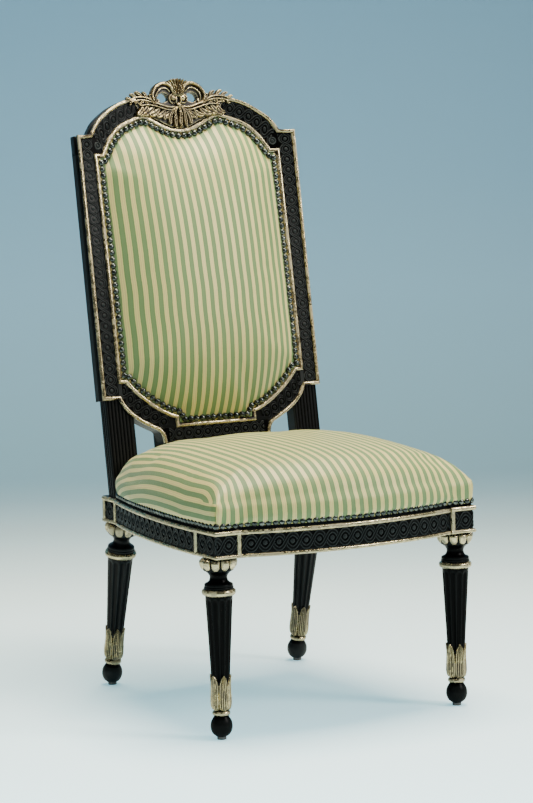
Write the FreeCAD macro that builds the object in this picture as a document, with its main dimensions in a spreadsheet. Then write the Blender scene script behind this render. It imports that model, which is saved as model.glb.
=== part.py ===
import FreeCAD, Part
import os
import math

V = FreeCAD.Vector
os.makedirs("parts", exist_ok=True)
doc = FreeCAD.newDocument("side_chair")

# ---------------------------------------------------------------- sizes, mm
# x: to the right of someone facing the front of the chair, front faces -Y, z up from the floor
SIZES = [
    ("origin_shift", 313.78),     # front rail corner line to the middle of the overall depth
    ("half_front", 270.0),       # half the width over the front corners
    ("half_rear", 235.2),        # half the width over the rear blocks
    ("seat_deep", 526.0),        # front corner to the back of the rear blocks
    ("rail_bot", 327.3),
    ("bead_top", 377.4),
    ("rail_top", 392.0),
    ("bow_front", 32.0),
    ("bow_side", 19.0),
    ("rail_end", 3.5),           # the bowed front rail meets the flat dies this far behind their faces
    ("rail_thick", 28.0),
    ("bead_low", 7.1),
    ("bead_high", 8.6),
    ("band_in", 3.0),            # the carved band lies this far behind its beads
    ("tack_in", 5.0),            # the tacking margin lies this far behind the beads
    ("blk_w", 50.7),
    ("blk_d", 74.0),
    ("leg_x", 248.0),
    ("leg_y", 34.5),
    ("rleg_x", 207.0),
    ("rleg_foot", 566.5),
    ("leg_rake", 11.9),
    ("rblk_y", 470.3),
    ("rblk_in", 170.0),
    ("glide_r", 8.4),
    ("glide_high", 4.9),
    ("ball_r", 20.0),
    ("rake", 9.5),
    ("back_y", 474.03),
    ("frame_t", 34.0),
    ("stile_out", 238.4),
    ("stile_in", 195.5),
    ("stile_bot", 187.0),
    ("stile_top", 660.0),
    ("corner_top", 697.0),
    ("crest_sag", 32.0),
    ("post_in", 175.0),
    ("post_out", 230.6),
    ("post_front", 4.0),
    ("post_t", 29.0),
    ("lower_t", 46.0),
    ("crown", 500.0),            # top of the seat cushion over the floor
    ("wall_top", 428.0),
    ("cover_t", 1.2),
    ("web_t", 1.6),
    ("hess_t", 0.8),
    ("nail_r", 6.1),
    ("nail_pitch", 12.5),
    ("dowel_r", 4.5),
    ("dowel_long", 36.0),
]
sheet = doc.addObject("Spreadsheet::Sheet", "Sizes")
for i, (name, value) in enumerate(SIZES):
    sheet.set("A%d" % (i + 1), name)
    sheet.set("B%d" % (i + 1), str(value))
    sheet.setAlias("B%d" % (i + 1), name)
doc.recompute()
N = dict(SIZES)


class Q:
    """A size that keeps both its number and its formula."""

    def __init__(self, value, text):
        self.v = float(value)
        self.t = text

    def _o(self, other):
        return other if isinstance(other, Q) else Q(other, "%.6f" % other)

    def __add__(self, o):
        o = self._o(o)
        return Q(self.v + o.v, "(%s + %s)" % (self.t, o.t))

    def __sub__(self, o):
        o = self._o(o)
        return Q(self.v - o.v, "(%s - %s)" % (self.t, o.t))

    def __mul__(self, o):
        o = self._o(o)
        return Q(self.v * o.v, "(%s * %s)" % (self.t, o.t))

    def __truediv__(self, o):
        o = self._o(o)
        return Q(self.v / o.v, "(%s / %s)" % (self.t, o.t))

    def __neg__(self):
        return Q(-self.v, "(0 - %s)" % self.t)


def S(name):
    return Q(N[name], "Sizes.%s" % name)


def num(a):
    return a.v if isinstance(a, Q) else float(a)


OUT = []
FOOT_REV = False


def new_body(label):
    b = doc.addObject("PartDesign::Body", label)
    b.Label = label
    OUT.append(b)
    return b


def chair_place(obj):
    """Puts a piece drawn in chair coordinates (front corners on y = 0) about the middle of the depth."""
    obj.Placement = FreeCAD.Placement(V(0, -N["origin_shift"], 0), FreeCAD.Rotation())
    obj.setExpression("Placement.Base.y", "0 - Sizes.origin_shift")


def back_place(obj):
    """Puts a piece drawn in the back's own frame: x across, y behind the front face, z up the raked back."""
    r = FreeCAD.Rotation(V(-1, 0, 0), N["rake"])
    obj.Placement = FreeCAD.Placement(V(0, N["back_y"] - N["origin_shift"], N["bead_top"]), r)
    obj.setExpression("Placement.Base.y", "Sizes.back_y - Sizes.origin_shift")
    obj.setExpression("Placement.Base.z", "Sizes.bead_top")
    obj.setExpression("Placement.Rotation.Angle", "Sizes.rake")


def sketch(body, name, plane, off=(0, 0, 0), rot=None, offx=None):
    sk = body.newObject("Sketcher::SketchObject", name)
    sup = [f for f in body.Origin.OriginFeatures if f.Role == plane][0]
    sk.AttachmentSupport = [(sup, "")]
    sk.MapMode = "FlatFace"
    sk.AttachmentOffset = FreeCAD.Placement(V(*off), rot or FreeCAD.Rotation())
    if offx is not None:
        sk.setExpression("AttachmentOffset.Base.z", offx)
    return sk


def ends(sk, g):
    geo = sk.Geometry[g]
    return geo.StartPoint, geo.EndPoint


def pin(sk, g, pos, x, y):
    """Fixes one point of a sketch to two sizes."""
    import Sketcher
    for kind, val in (("DistanceX", x), ("DistanceY", y)):
        i = sk.addConstraint(Sketcher.Constraint(kind, -1, 1, g, pos, num(val)))
        if isinstance(val, Q):
            sk.setExpression("Constraints[%d]" % i, val.t)


def loop(sk, pts, arcs=None):
    """A closed outline. pts are corners; arcs[i] = (mid x, mid y) bends the side from corner i to i+1."""
    import Sketcher
    arcs = arcs or {}
    n = len(pts)
    ids = []
    for i in range(n):
        a = V(num(pts[i][0]), num(pts[i][1]), 0)
        b = V(num(pts[(i + 1) % n][0]), num(pts[(i + 1) % n][1]), 0)
        if i in arcs:
            m = V(num(arcs[i][0]), num(arcs[i][1]), 0)
            turn = (m.x - a.x) * (b.y - m.y) - (m.y - a.y) * (b.x - m.x)
            arc = Part.Arc(a, m, b) if turn > 0 else Part.Arc(b, m, a)
            ids.append(sk.addGeometry(arc, False))
        else:
            ids.append(sk.addGeometry(Part.LineSegment(a, b), False))
    first = {}
    last = {}
    for i in range(n):
        a = V(num(pts[i][0]), num(pts[i][1]), 0)
        s, e = ends(sk, ids[i])
        flip = (s - a).Length > (e - a).Length
        first[i] = 2 if flip else 1
        last[i] = 1 if flip else 2
    for i in range(n):
        j = (i + 1) % n
        sk.addConstraint(Sketcher.Constraint("Coincident", ids[i], last[i], ids[j], first[j]))
    for i in range(n):
        pin(sk, ids[i], first[i], pts[i][0], pts[i][1])
        if i in arcs:
            rad = sk.Geometry[ids[i]].Radius
            sk.addConstraint(Sketcher.Constraint("Radius", ids[i], rad))
    return ids


def circle(sk, x, y, r):
    import Sketcher
    g = sk.addGeometry(Part.Circle(V(num(x), num(y), 0), V(0, 0, 1), num(r)), False)
    i = sk.addConstraint(Sketcher.Constraint("Radius", g, num(r)))
    if isinstance(r, Q):
        sk.setExpression("Constraints[%d]" % i, r.t)
    pin(sk, g, 3, x, y)
    return g


def pad(body, name, sk, length, rev=False):
    p = body.newObject("PartDesign::Pad", name)
    p.Profile = sk
    p.Length = num(length)
    if isinstance(length, Q):
        p.setExpression("Length", length.t)
    p.Reversed = rev
    sk.Visibility = False
    return p


def pocket(body, name, sk, length=None, rev=False):
    p = body.newObject("PartDesign::Pocket", name)
    p.Profile = sk
    if length is None:
        p.Type = 1
        p.Midplane = True
    else:
        p.Length = num(length)
        if isinstance(length, Q):
            p.setExpression("Length", length.t)
        p.Reversed = rev
    sk.Visibility = False
    return p


def mirror_pts(half, tip_on_axis=True):
    """The whole outline from its right-hand half, given from the top centre round to the bottom centre."""
    left = [(-x if isinstance(x, Q) else -x, y) for x, y in reversed(half)]
    out = list(half)
    for p in left:
        if abs(num(p[0])) < 1e-6:
            continue
        out.append(p)
    return out


# ---------------------------------------------------------------- plan of the seat
def circle_through(p, q, r):
    """Centre and radius of the circle through three points."""
    ax, ay = q[0] - p[0], q[1] - p[1]
    bx, by = r[0] - p[0], r[1] - p[1]
    d = 2 * (ax * by - ay * bx)
    ux = (by * (ax * ax + ay * ay) - ay * (bx * bx + by * by)) / d
    uy = (ax * (bx * bx + by * by) - bx * (ax * ax + ay * ay)) / d
    return p[0] + ux, p[1] + uy, math.hypot(ux, uy)


DIE_IN = N["half_front"] - N["blk_w"]
FRONT_C = circle_through((-DIE_IN, N["rail_end"]), (0.0, -N["bow_front"]), (DIE_IN, N["rail_end"]))
SIDE_C = circle_through((N["half_front"], 0.0), ((N["half_front"] + N["half_rear"]) / 2 + N["bow_side"], 237.0), (N["half_rear"], 474.0))


def front_y(x, d=0.0):
    """Front edge of the seat at x, drawn in by d: flat over the dies, bowed between them."""
    if abs(x) > DIE_IN + 1e-6:
        return d
    return FRONT_C[1] - math.sqrt((FRONT_C[2] - d) ** 2 - (x - FRONT_C[0]) ** 2)


def side_x(y, d=0.0):
    """Side edge of the seat at y, drawn in by d."""
    return SIDE_C[0] + math.sqrt((SIDE_C[2] - d) ** 2 - (y - SIDE_C[1]) ** 2)


def corner(d):
    x, y = N["half_front"] - d, d
    for _ in range(40):
        y = front_y(x, d)
        x = side_x(y, d)
    return x, y


# ---------------------------------------------------------------- turned leg outline
# radius and height over the foot for the turning below the square block
TURN = [
    (9.0, 4.9), (13.5, 8.0), (17.6, 13.6), (20.0, 24.0), (18.6, 32.4), (14.6, 39.6), (12.6, 43.2),
    (12.6, 44.6), (15.7, 46.4), (15.7, 50.2), (13.2, 52.2), (14.0, 55.0), (18.0, 62.0), (18.9, 70.0),
    (17.6, 88.0), (17.3, 115.6), (24.5, 255.5), (27.8, 257.2), (29.7, 259.5), (29.7, 264.5), (27.6, 267.2),
    (28.6, 270.5), (25.8, 276.5), (18.6, 284.0), (17.2, 290.5), (21.0, 296.5), (29.5, 300.6), (30.2, 303.0),
    (34.2, 308.0), (34.4, 314.0), (31.5, 320.6), (27.0, 323.5), (25.4, 327.3),
]


def turned(body, name, x, foot_y, rake, top):
    """The turned part, revolved about its own axis in the plane x = const."""
    rot = FreeCAD.Rotation(V(0, 0, 1), rake)
    sk = sketch(body, name + "_profile", "YZ_Plane", (foot_y, 0, x), rot)
    k = 1.0 / math.cos(math.radians(rake))
    pts = [(0.0, TURN[0][1] * k)] + [(r, z * k) for r, z in TURN]
    if top > TURN[-1][1] + 0.01:
        pts.append((TURN[-1][0], top * k))
    pts.append((0.0, top * k))
    loop(sk, pts)
    rv = body.newObject("PartDesign::Revolution", name)
    rv.Profile = sk
    rv.ReferenceAxis = (sk, ["V_Axis"])
    rv.Angle = 360
    sk.Visibility = False
    return sk


def flutes(body, name, x, foot_y, rake, prof):
    """Twelve shallow flutes up the taper."""
    k = 1.0 / math.cos(math.radians(rake))
    a = math.radians(rake)
    rot = FreeCAD.Rotation(V(0, 0, 1), rake)
    path = sketch(body, name + "_line", "YZ_Plane", (foot_y, 0, x), rot)
    import Sketcher
    g = path.addGeometry(Part.LineSegment(V(18.2, 118 * k, 0), V(25.3, 250 * k, 0)), False)
    pin(path, g, 1, 18.2, 118 * k)
    pin(path, g, 2, 25.3, 250 * k)
    # the cutter's round section, square to the line at its lower end
    lean = math.degrees(math.atan2(25.3 - 18.2, 132 * k))
    cy = foot_y + 18.2 * math.cos(a) - 118 * k * math.sin(a)
    cz = 18.2 * math.sin(a) + 118 * k * math.cos(a)
    r2 = FreeCAD.Rotation(V(1, 0, 0), rake - lean)
    sec = sketch(body, name + "_round", "XY_Plane", (x, cy, cz), r2)
    circle(sec, 0.0, 0.0, 2.4)
    cut = body.newObject("PartDesign::SubtractivePipe", name + "_cut")
    cut.Profile = sec
    cut.Spine = path
    sec.Visibility = False
    path.Visibility = False
    doc.recompute()
    pat = body.newObject("PartDesign::PolarPattern", name)
    pat.Originals = [cut]
    pat.Axis = (prof, ["V_Axis"])
    pat.Angle = 360
    pat.Occurrences = 12
    body.Tip = pat
    return pat


# ---------------------------------------------------------------- front legs
for side, sg in (("left", -1), ("right", 1)):
    b = new_body("front_leg_" + side)
    prof = turned(b, "turning_f" + side, sg * N["leg_x"], N["leg_y"], 0.0, N["rail_bot"])
    xi_v = N["half_front"] - N["blk_w"]
    xo = S("half_front") if sg > 0 else -S("half_front")
    xi = (S("half_front") - S("blk_w")) if sg > 0 else -(S("half_front") - S("blk_w"))

    def block_plan(tag, z, zexpr, d, high):
        cx, cy = corner(d)
        pts = [(xi, d), (sg * cx, cy), (sg * side_x(N["blk_d"], d), S("blk_d")), (xi, S("blk_d"))]
        if sg < 0:
            pts = [pts[1], pts[0], pts[3], pts[2]]
        sk = sketch(b, tag + "_f" + side, "XY_Plane", (0, 0, z), offx=zexpr)
        loop(sk, pts)
        return pad(b, "square_" + tag + side, sk, high)

    # the square: carved band a little behind its two beads, tacking margin behind that
    block_plan("low", N["rail_bot"], "Sizes.rail_bot", 0.0, S("bead_low"))
    block_plan("band", N["rail_bot"], "Sizes.rail_bot", N["band_in"], S("bead_top") - S("rail_bot"))
    block_plan("high", N["bead_top"] - N["bead_high"], "Sizes.bead_top - Sizes.bead_high", 0.0, S("bead_high"))
    block_plan("tack", N["bead_top"] - 2.0, "Sizes.bead_top - 2", N["tack_in"], S("rail_top") - S("bead_top") + 2.0)
    doc.recompute()
    flutes(b, "flutes_f" + side, sg * N["leg_x"], N["leg_y"], 0.0, prof)
    chair_place(b)
doc.recompute()

# ---------------------------------------------------------------- rear uprights: raked turned leg, block, post and stile in one timber
for side, sg in (("left", -1), ("right", 1)):
    b = new_body("rear_upright_" + side)
    prof = turned(b, "turning_r" + side, sg * N["rleg_x"], N["rleg_foot"], N["leg_rake"], N["rail_bot"] + 6)
    # the foot is cut flat over its glide
    doc.recompute()
    sk = sketch(b, "footcut_r" + side, "XY_Plane", (0, 0, N["glide_high"]), offx="Sizes.glide_high")
    c0 = sg * N["rleg_x"]
    loop(sk, [(c0 - 60, N["rleg_foot"] - 60), (c0 + 60, N["rleg_foot"] - 60), (c0 + 60, N["rleg_foot"] + 60), (c0 - 60, N["rleg_foot"] + 60)])
    pocket(b, "foot_r" + side, sk, 20.0, rev=FOOT_REV)
    sk = sketch(b, "block_r" + side, "XY_Plane", (0, 0, N["rail_bot"]), offx="Sizes.rail_bot")
    xo = S("half_rear") if sg > 0 else -S("half_rear")
    xi = S("rblk_in") if sg > 0 else -S("rblk_in")
    xa, xb = (xi, xo) if sg > 0 else (xo, xi)
    loop(sk, [(xa, S("rblk_y")), (xb, S("rblk_y")), (xb, S("seat_deep")), (xa, S("seat_deep"))])
    pad(b, "square_r" + side, sk, S("rail_top") - S("rail_bot"))
    # post, in the raked plane of the back
    lean = FreeCAD.Rotation(V(1, 0, 0), -N["rake"])
    a = math.radians(N["rake"])

    def back_off(t):
        y = N["back_y"] + t * math.cos(a)
        z = N["bead_top"] - t * math.sin(a)
        return (0, z, -y)
    po = S("post_out") if sg > 0 else -S("post_out")
    pi_ = S("post_in") if sg > 0 else -S("post_in")
    f = 1 if sg > 0 else -1
    sk = sketch(b, "post_line" + side, "XZ_Plane", back_off(N["post_front"]), lean)
    pts = [(po, 8.0), (po, S("stile_bot") + 3.0), (f * 205.0, S("stile_bot") + 3.0), (f * 205.0, S("stile_bot")), (f * 195.5, 169.9), (f * 180.2, 153.7),
           (pi_, 149.3), (pi_, 8.0)]
    loop(sk, pts)
    pad(b, "post_" + side, sk, S("post_t"), rev=True)
    # stile of the back frame, standing proud of the post
    sk = sketch(b, "stile_line" + side, "XZ_Plane", back_off(0.0), lean)
    so = S("stile_out") if sg > 0 else -S("stile_out")
    si = S("stile_in") if sg > 0 else -S("stile_in")
    loop(sk, [(so, S("stile_bot")), (so, S("stile_top")), (si, S("stile_top")), (si, S("stile_bot"))])
    pad(b, "stile_" + side, sk, S("frame_t"), rev=True)
    doc.recompute()
    # sunk band between the two beads of the stile
    sk = sketch(b, "stile_band" + side, "XZ_Plane", back_off(0.0), lean)
    loop(sk, [(so - f * 7.0, S("stile_bot") + 7.0), (so - f * 7.0, S("stile_top") + 5.0), (si + f * 8.0, S("stile_top") + 5.0), (si + f * 8.0, S("stile_bot") + 7.0)])
    pocket(b, "stile_sunk" + side, sk, S("band_in"))
    doc.recompute()
    # cove down the outer side
    sk = sketch(b, "stile_cove" + side, "XZ_Plane", back_off(8.0), lean)
    loop(sk, [(so - f * 3.0, S("stile_bot") - 3.0), (so + f * 6.0, S("stile_bot") - 3.0), (so + f * 6.0, S("stile_top") + 5.0), (so - f * 3.0, S("stile_top") + 5.0)])
    pocket(b, "stile_coved" + side, sk, 9.0)
    doc.recompute()
    # seven flutes down the face of the post
    sk = sketch(b, "post_flute_at" + side, "XZ_Plane", back_off(N["post_front"]), lean)
    loop(sk, [(f * 180.5, 20.0), (f * 184.1, 20.0), (f * 184.1, 148.0), (f * 180.5, 148.0)])
    fl = pocket(b, "post_flute" + side, sk, 2.0)
    doc.recompute()
    lp = b.newObject("PartDesign::LinearPattern", "post_flutes" + side)
    lp.Originals = [fl]
    lp.Direction = (sk, ["H_Axis"])
    lp.Reversed = sg < 0
    lp.Length = 45.0
    lp.Occurrences = 7
    b.Tip = lp
    doc.recompute()
    flutes(b, "flutes_r" + side, sg * N["rleg_x"], N["rleg_foot"], N["leg_rake"], prof)
    chair_place(b)
doc.recompute()

# ---------------------------------------------------------------- glides under the four feet
for name, x, y in (("glide_front_left", -S("leg_x"), S("leg_y")), ("glide_front_right", S("leg_x"), S("leg_y")),
                   ("glide_rear_left", -S("rleg_x"), S("rleg_foot") - 5.0), ("glide_rear_right", S("rleg_x"), S("rleg_foot") - 5.0)):
    b = new_body(name)
    sk = sketch(b, "round_" + name, "XY_Plane")
    circle(sk, x, y, S("glide_r"))
    pad(b, "disc_" + name, sk, S("glide_high"))
    chair_place(b)


# ---------------------------------------------------------------- seat rails
def rail_slab(body, tag, ends4, mids, z, high, zexpr):
    """One layer of a bowed rail: two ends and two bent faces."""
    sk = sketch(body, "plan_" + tag, "XY_Plane", (0, 0, num(z)), offx=zexpr)
    loop(sk, ends4, mids)
    return pad(body, "layer_" + tag, sk, high)


# front rail between the two front blocks
b = new_body("front_seat_rail")
xe = S("half_front") - S("blk_w")
thick = S("rail_thick")
band = S("band_in")
sag = S("bow_front")


def front_layer(tag, z, high, zexpr, d):
    xv = num(xe)
    t = num(thick)
    rail_slab(b, tag, [(-xe, front_y(xv, d)), (xe, front_y(xv, d)), (xe, front_y(xv, t)), (-xe, front_y(xv, t))],
              {0: (0.0, front_y(0, d)), 2: (0.0, front_y(0, t))}, z, high, zexpr)


front_layer("front_core", S("rail_bot"), S("bead_top") - S("rail_bot"), "Sizes.rail_bot", N["band_in"])
front_layer("front_low", S("rail_bot"), S("bead_low"), "Sizes.rail_bot", 0.0)
front_layer("front_high", S("bead_top") - S("bead_high"), S("bead_high"), "Sizes.bead_top - Sizes.bead_high", 0.0)
front_layer("front_tack", S("bead_top") - 2.0, S("rail_top") - S("bead_top") + 2.0, "Sizes.bead_top - 2", N["tack_in"])
chair_place(b)

# side rails between front block and rear block, bowed outwards
for side, sg in (("left", -1), ("right", 1)):
    b = new_body("side_seat_rail_" + side)
    ya, yb = N["blk_d"], N["rblk_y"]

    def side_layer(tag, z, high, zexpr, d):
        t = num(thick)
        ym = (ya + yb) / 2
        if sg > 0:
            rail_slab(b, tag, [(side_x(ya, d), S("blk_d")), (side_x(yb, d), S("rblk_y")), (side_x(yb, t), S("rblk_y")), (side_x(ya, t), S("blk_d"))],
                      {0: (side_x(ym, d), ym), 2: (side_x(ym, t), ym)}, z, high, zexpr)
        else:
            rail_slab(b, tag, [(-side_x(ya, d), S("blk_d")), (-side_x(ya, t), S("blk_d")), (-side_x(yb, t), S("rblk_y")), (-side_x(yb, d), S("rblk_y"))],
                      {1: (-side_x(ym, t), ym), 3: (-side_x(ym, d), ym)}, z, high, zexpr)
    side_layer("side_core" + side, S("rail_bot"), S("bead_top") - S("rail_bot"), "Sizes.rail_bot", N["band_in"])
    side_layer("side_low" + side, S("rail_bot"), S("bead_low"), "Sizes.rail_bot", 0.0)
    side_layer("side_high" + side, S("bead_top") - S("bead_high"), S("bead_high"), "Sizes.bead_top - Sizes.bead_high", 0.0)
    side_layer("side_tack" + side, S("bead_top") - 2.0, S("rail_top") - S("bead_top") + 2.0, "Sizes.bead_top - 2", N["tack_in"])
    chair_place(b)

# plain rear rail between the rear blocks
b = new_body("rear_seat_rail")
sk = sketch(b, "plan_rear", "XY_Plane", (0, 0, N["rail_bot"]), offx="Sizes.rail_bot")
loop(sk, [(-S("rblk_in"), S("seat_deep") - S("rail_thick")), (S("rblk_in"), S("seat_deep") - S("rail_thick")), (S("rblk_in"), S("seat_deep") - 2.0), (-S("rblk_in"), S("seat_deep") - 2.0)])
pad(b, "rear_core", sk, S("rail_top") - S("rail_bot"))
chair_place(b)
doc.recompute()

# ---------------------------------------------------------------- dowels of the seat joints (two to a joint), with their holes
DOWELS = []
fx = N["half_front"] - N["blk_w"]
for sg in (-1, 1):
    for z in (345.0, 374.0):
        DOWELS.append(("X", sg * fx, 15.0, z, ("front_leg_left", "front_seat_rail") if sg < 0 else ("front_leg_right", "front_seat_rail")))
        DOWELS.append(("X", sg * N["rblk_in"], 511.0, z, ("rear_upright_left", "rear_seat_rail") if sg < 0 else ("rear_upright_right", "rear_seat_rail")))
        DOWELS.append(("Y", sg * 257.0, N["blk_d"], z, ("front_leg_left", "side_seat_rail_left") if sg < 0 else ("front_leg_right", "side_seat_rail_right")))
        DOWELS.append(("Y", sg * 222.0, N["rblk_y"], z, ("rear_upright_left", "side_seat_rail_left") if sg < 0 else ("rear_upright_right", "side_seat_rail_right")))
half = N["dowel_long"] / 2
body_of = {o.Label: o for o in OUT}
sites = {}
for axis, x, y, z, pair in DOWELS:
    for who in pair:
        if axis == "X":
            sites.setdefault((who, "X", x), []).append((y, z))
        else:
            sites.setdefault((who, "Y", y), []).append((x, z))
for k, ((who, axis, at), holes) in enumerate(sorted(sites.items(), key=lambda q: str(q[0]))):
    b = body_of[who]
    if axis == "X":
        sk = sketch(b, "dowel_at_%d" % k, "YZ_Plane", (0, 0, at))
    else:
        sk = sketch(b, "dowel_at_%d" % k, "XZ_Plane", (0, 0, -at))
    for p, q in holes:
        circle(sk, p, q, S("dowel_r"))
    pk = b.newObject("PartDesign::Pocket", "dowel_hole_%d" % k)
    pk.Profile = sk
    pk.Length = N["dowel_long"]
    pk.Midplane = True
    pk.setExpression("Length", "Sizes.dowel_long")
    sk.Visibility = False
    b.Tip = pk
    doc.recompute()
dow = []
for i, (axis, x, y, z, pair) in enumerate(DOWELS):
    c = doc.addObject("Part::Cylinder", "dowel_%d" % i)
    c.setExpression("Radius", "Sizes.dowel_r")
    c.setExpression("Height", "Sizes.dowel_long")
    if axis == "X":
        c.Placement = FreeCAD.Placement(V(x - half, y, z), FreeCAD.Rotation(V(0, 1, 0), 90))
    else:
        c.Placement = FreeCAD.Placement(V(x, y - half, z), FreeCAD.Rotation(V(1, 0, 0), -90))
    dow.append(c)
g = doc.addObject("Part::MultiFuse", "seat_dowels")
g.Label = "seat_dowels"
g.Shapes = dow
chair_place(g)
OUT.append(g)
doc.recompute()

# ---------------------------------------------------------------- glued corner blocks and their screws
CB = [("corner_block_front_left", -1, 0), ("corner_block_front_right", 1, 0), ("corner_block_rear_left", -1, 1), ("corner_block_rear_right", 1, 1)]
SCREWS = []
for name, sg, rear in CB:
    b = new_body(name)
    sk = sketch(b, "plan_" + name, "XY_Plane", (0, 0, N["rail_bot"] + 8.0), offx="Sizes.rail_bot + 8")
    if not rear:
        pts = [(sg * 219.0, 74.2), (sg * 219.0, 52.0), (sg * 160.0, 20.0), (sg * 150.0, 30.0), (sg * 222.0, 122.0), (sg * 238.0, 114.0), (sg * 238.0, 74.2)]
        SCREWS.append((sg * 200.0, 66.0))
    else:
        pts = [(sg * 170.0, 468.0), (sg * 170.0, 497.0), (sg * 128.0, 497.0), (sg * 124.0, 488.0), (sg * 200.0, 410.0), (sg * 208.0, 414.0), (sg * 205.0, 468.0)]
        SCREWS.append((sg * 176.0, 455.0))
    if sg < 0:
        pts = list(reversed(pts))
    loop(sk, pts)
    pad(b, "wedge_" + name, sk, 30.0)
    doc.recompute()
    sx, sy = SCREWS[-1]
    sk = sketch(b, "hole_" + name, "XY_Plane", (0, 0, N["rail_bot"]))
    circle(sk, sx, sy, 2.6)
    pk = pocket(b, "drill_" + name, sk)
    chair_place(b)
doc.recompute()
scr = []
for i, (sx, sy) in enumerate(SCREWS):
    c = doc.addObject("Part::Cylinder", "screw_shank_%d" % i)
    c.Radius = 2.55
    c.Height = 30.0
    c.Placement = FreeCAD.Placement(V(sx, sy, N["rail_bot"] + 7.0), FreeCAD.Rotation())
    h = doc.addObject("Part::Cone", "screw_head_%d" % i)
    h.Radius1 = 5.0
    h.Radius2 = 4.2
    h.Height = 2.4
    h.Placement = FreeCAD.Placement(V(sx, sy, N["rail_bot"] + 5.6), FreeCAD.Rotation())
    scr += [c, h]
g = doc.addObject("Part::MultiFuse", "corner_block_screws")
g.Label = "corner_block_screws"
g.Shapes = scr
chair_place(g)
OUT.append(g)
doc.recompute()

# ---------------------------------------------------------------- back frame: crest rail and lower rail
CREST_UP = [(95.0, 770.0), (110.0, 768.0), (130.0, 762.0), (150.0, 753.0), (170.0, 740.0), (188.0, 726.0), (198.0, 714.0), (207.5, 699.0)]
CREST_LOW = [(181.5, 653.0), (162.0, 684.0), (153.0, 694.0), (143.5, 704.0), (126.5, 714.0), (107.5, 721.5), (93.0, 727.0), (83.0, 729.5), (76.0, 728.0),
             (58.0, 719.5), (38.5, 709.7), (19.5, 703.0)]
b = new_body("crest_rail")
R0 = (240.0 ** 2 + N["crest_sag"] ** 2) / (2 * N["crest_sag"])


def plan_t(u, lift):
    """Depth of a curve parallel to the concave front of the crest, lift behind it."""
    r = R0 + lift
    return N["crest_sag"] - R0 + math.sqrt(r * r - u * u)


sk = sketch(b, "crest_plan", "XY_Plane", (0, 0, 640.0))
loop(sk, [(-250.0, plan_t(250, 0)), (250.0, plan_t(250, 0)), (250.0, plan_t(250, N["frame_t"])), (-250.0, plan_t(250, N["frame_t"]))],
     {0: (0.0, S("crest_sag")), 2: (0.0, S("crest_sag") + S("frame_t"))})
pad(b, "crest_slab", sk, 150.0)
doc.recompute()
half_line = [(0.0, 742.0), (72.0, 742.0), (86.0, 748.0)] + CREST_UP + [(S("stile_out"), S("corner_top")), (S("stile_out"), S("stile_top")), (S("stile_in"), S("stile_top")), (S("stile_in"), 653.0)] + CREST_LOW + [(0.0, 700.5)]
outline = mirror_pts(half_line)
sk = sketch(b, "crest_line", "XZ_Plane")
loop(sk, [(-300.0, 600.0), (300.0, 600.0), (300.0, 850.0), (-300.0, 850.0)])
loop(sk, outline)
pocket(b, "crest_cut", sk)
back_place(b)
doc.recompute()

LOW_OUT = [(117.0, 86.0), (118.0, 108.0), (122.0, 118.0), (140.0, 128.0), (160.0, 139.0), (180.2, 154.0), (195.2, 170.0)]
LOW_IN = [(184.0, 224.5), (174.0, 213.0), (160.0, 198.0), (140.0, 181.0), (120.0, 167.0), (100.0, 156.0), (84.0, 150.0), (80.0, 149.0), (80.0, 133.0)]
b = new_body("back_lower_rail")
half_line = [(0.0, 133.0)] + list(reversed(LOW_IN)) + [(S("stile_in"), 224.5), (S("stile_in"), 170.3)] + list(reversed(LOW_OUT[:-1])) + [(0.0, 86.0)]
sk = sketch(b, "lower_line", "XZ_Plane")
loop(sk, mirror_pts(half_line))
pad(b, "lower_body", sk, S("frame_t"), rev=True)
# the middle is deeper than the ends
sk = sketch(b, "lower_deep_line", "XZ_Plane", (0, 0, -N["frame_t"] + 1))
loop(sk, [(-117.0, 86.0), (117.0, 86.0), (117.0, 128.0), (-117.0, 128.0)])
pad(b, "lower_deep", sk, S("lower_t") - S("frame_t") + 1.0, rev=True)
back_place(b)
doc.recompute()

# dowels of the back: stile into crest rail, lower rail into stile
CROSS = [(208.0, 20.0), (226.0, 18.0)]
SIDE = [(188.0, 17.0), (206.0, 17.0)]
ra = math.radians(N["rake"])


def back_point(u, t, l):
    return V(u, N["back_y"] + l * math.sin(ra) + t * math.cos(ra), N["bead_top"] + l * math.cos(ra) - t * math.sin(ra))


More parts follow.
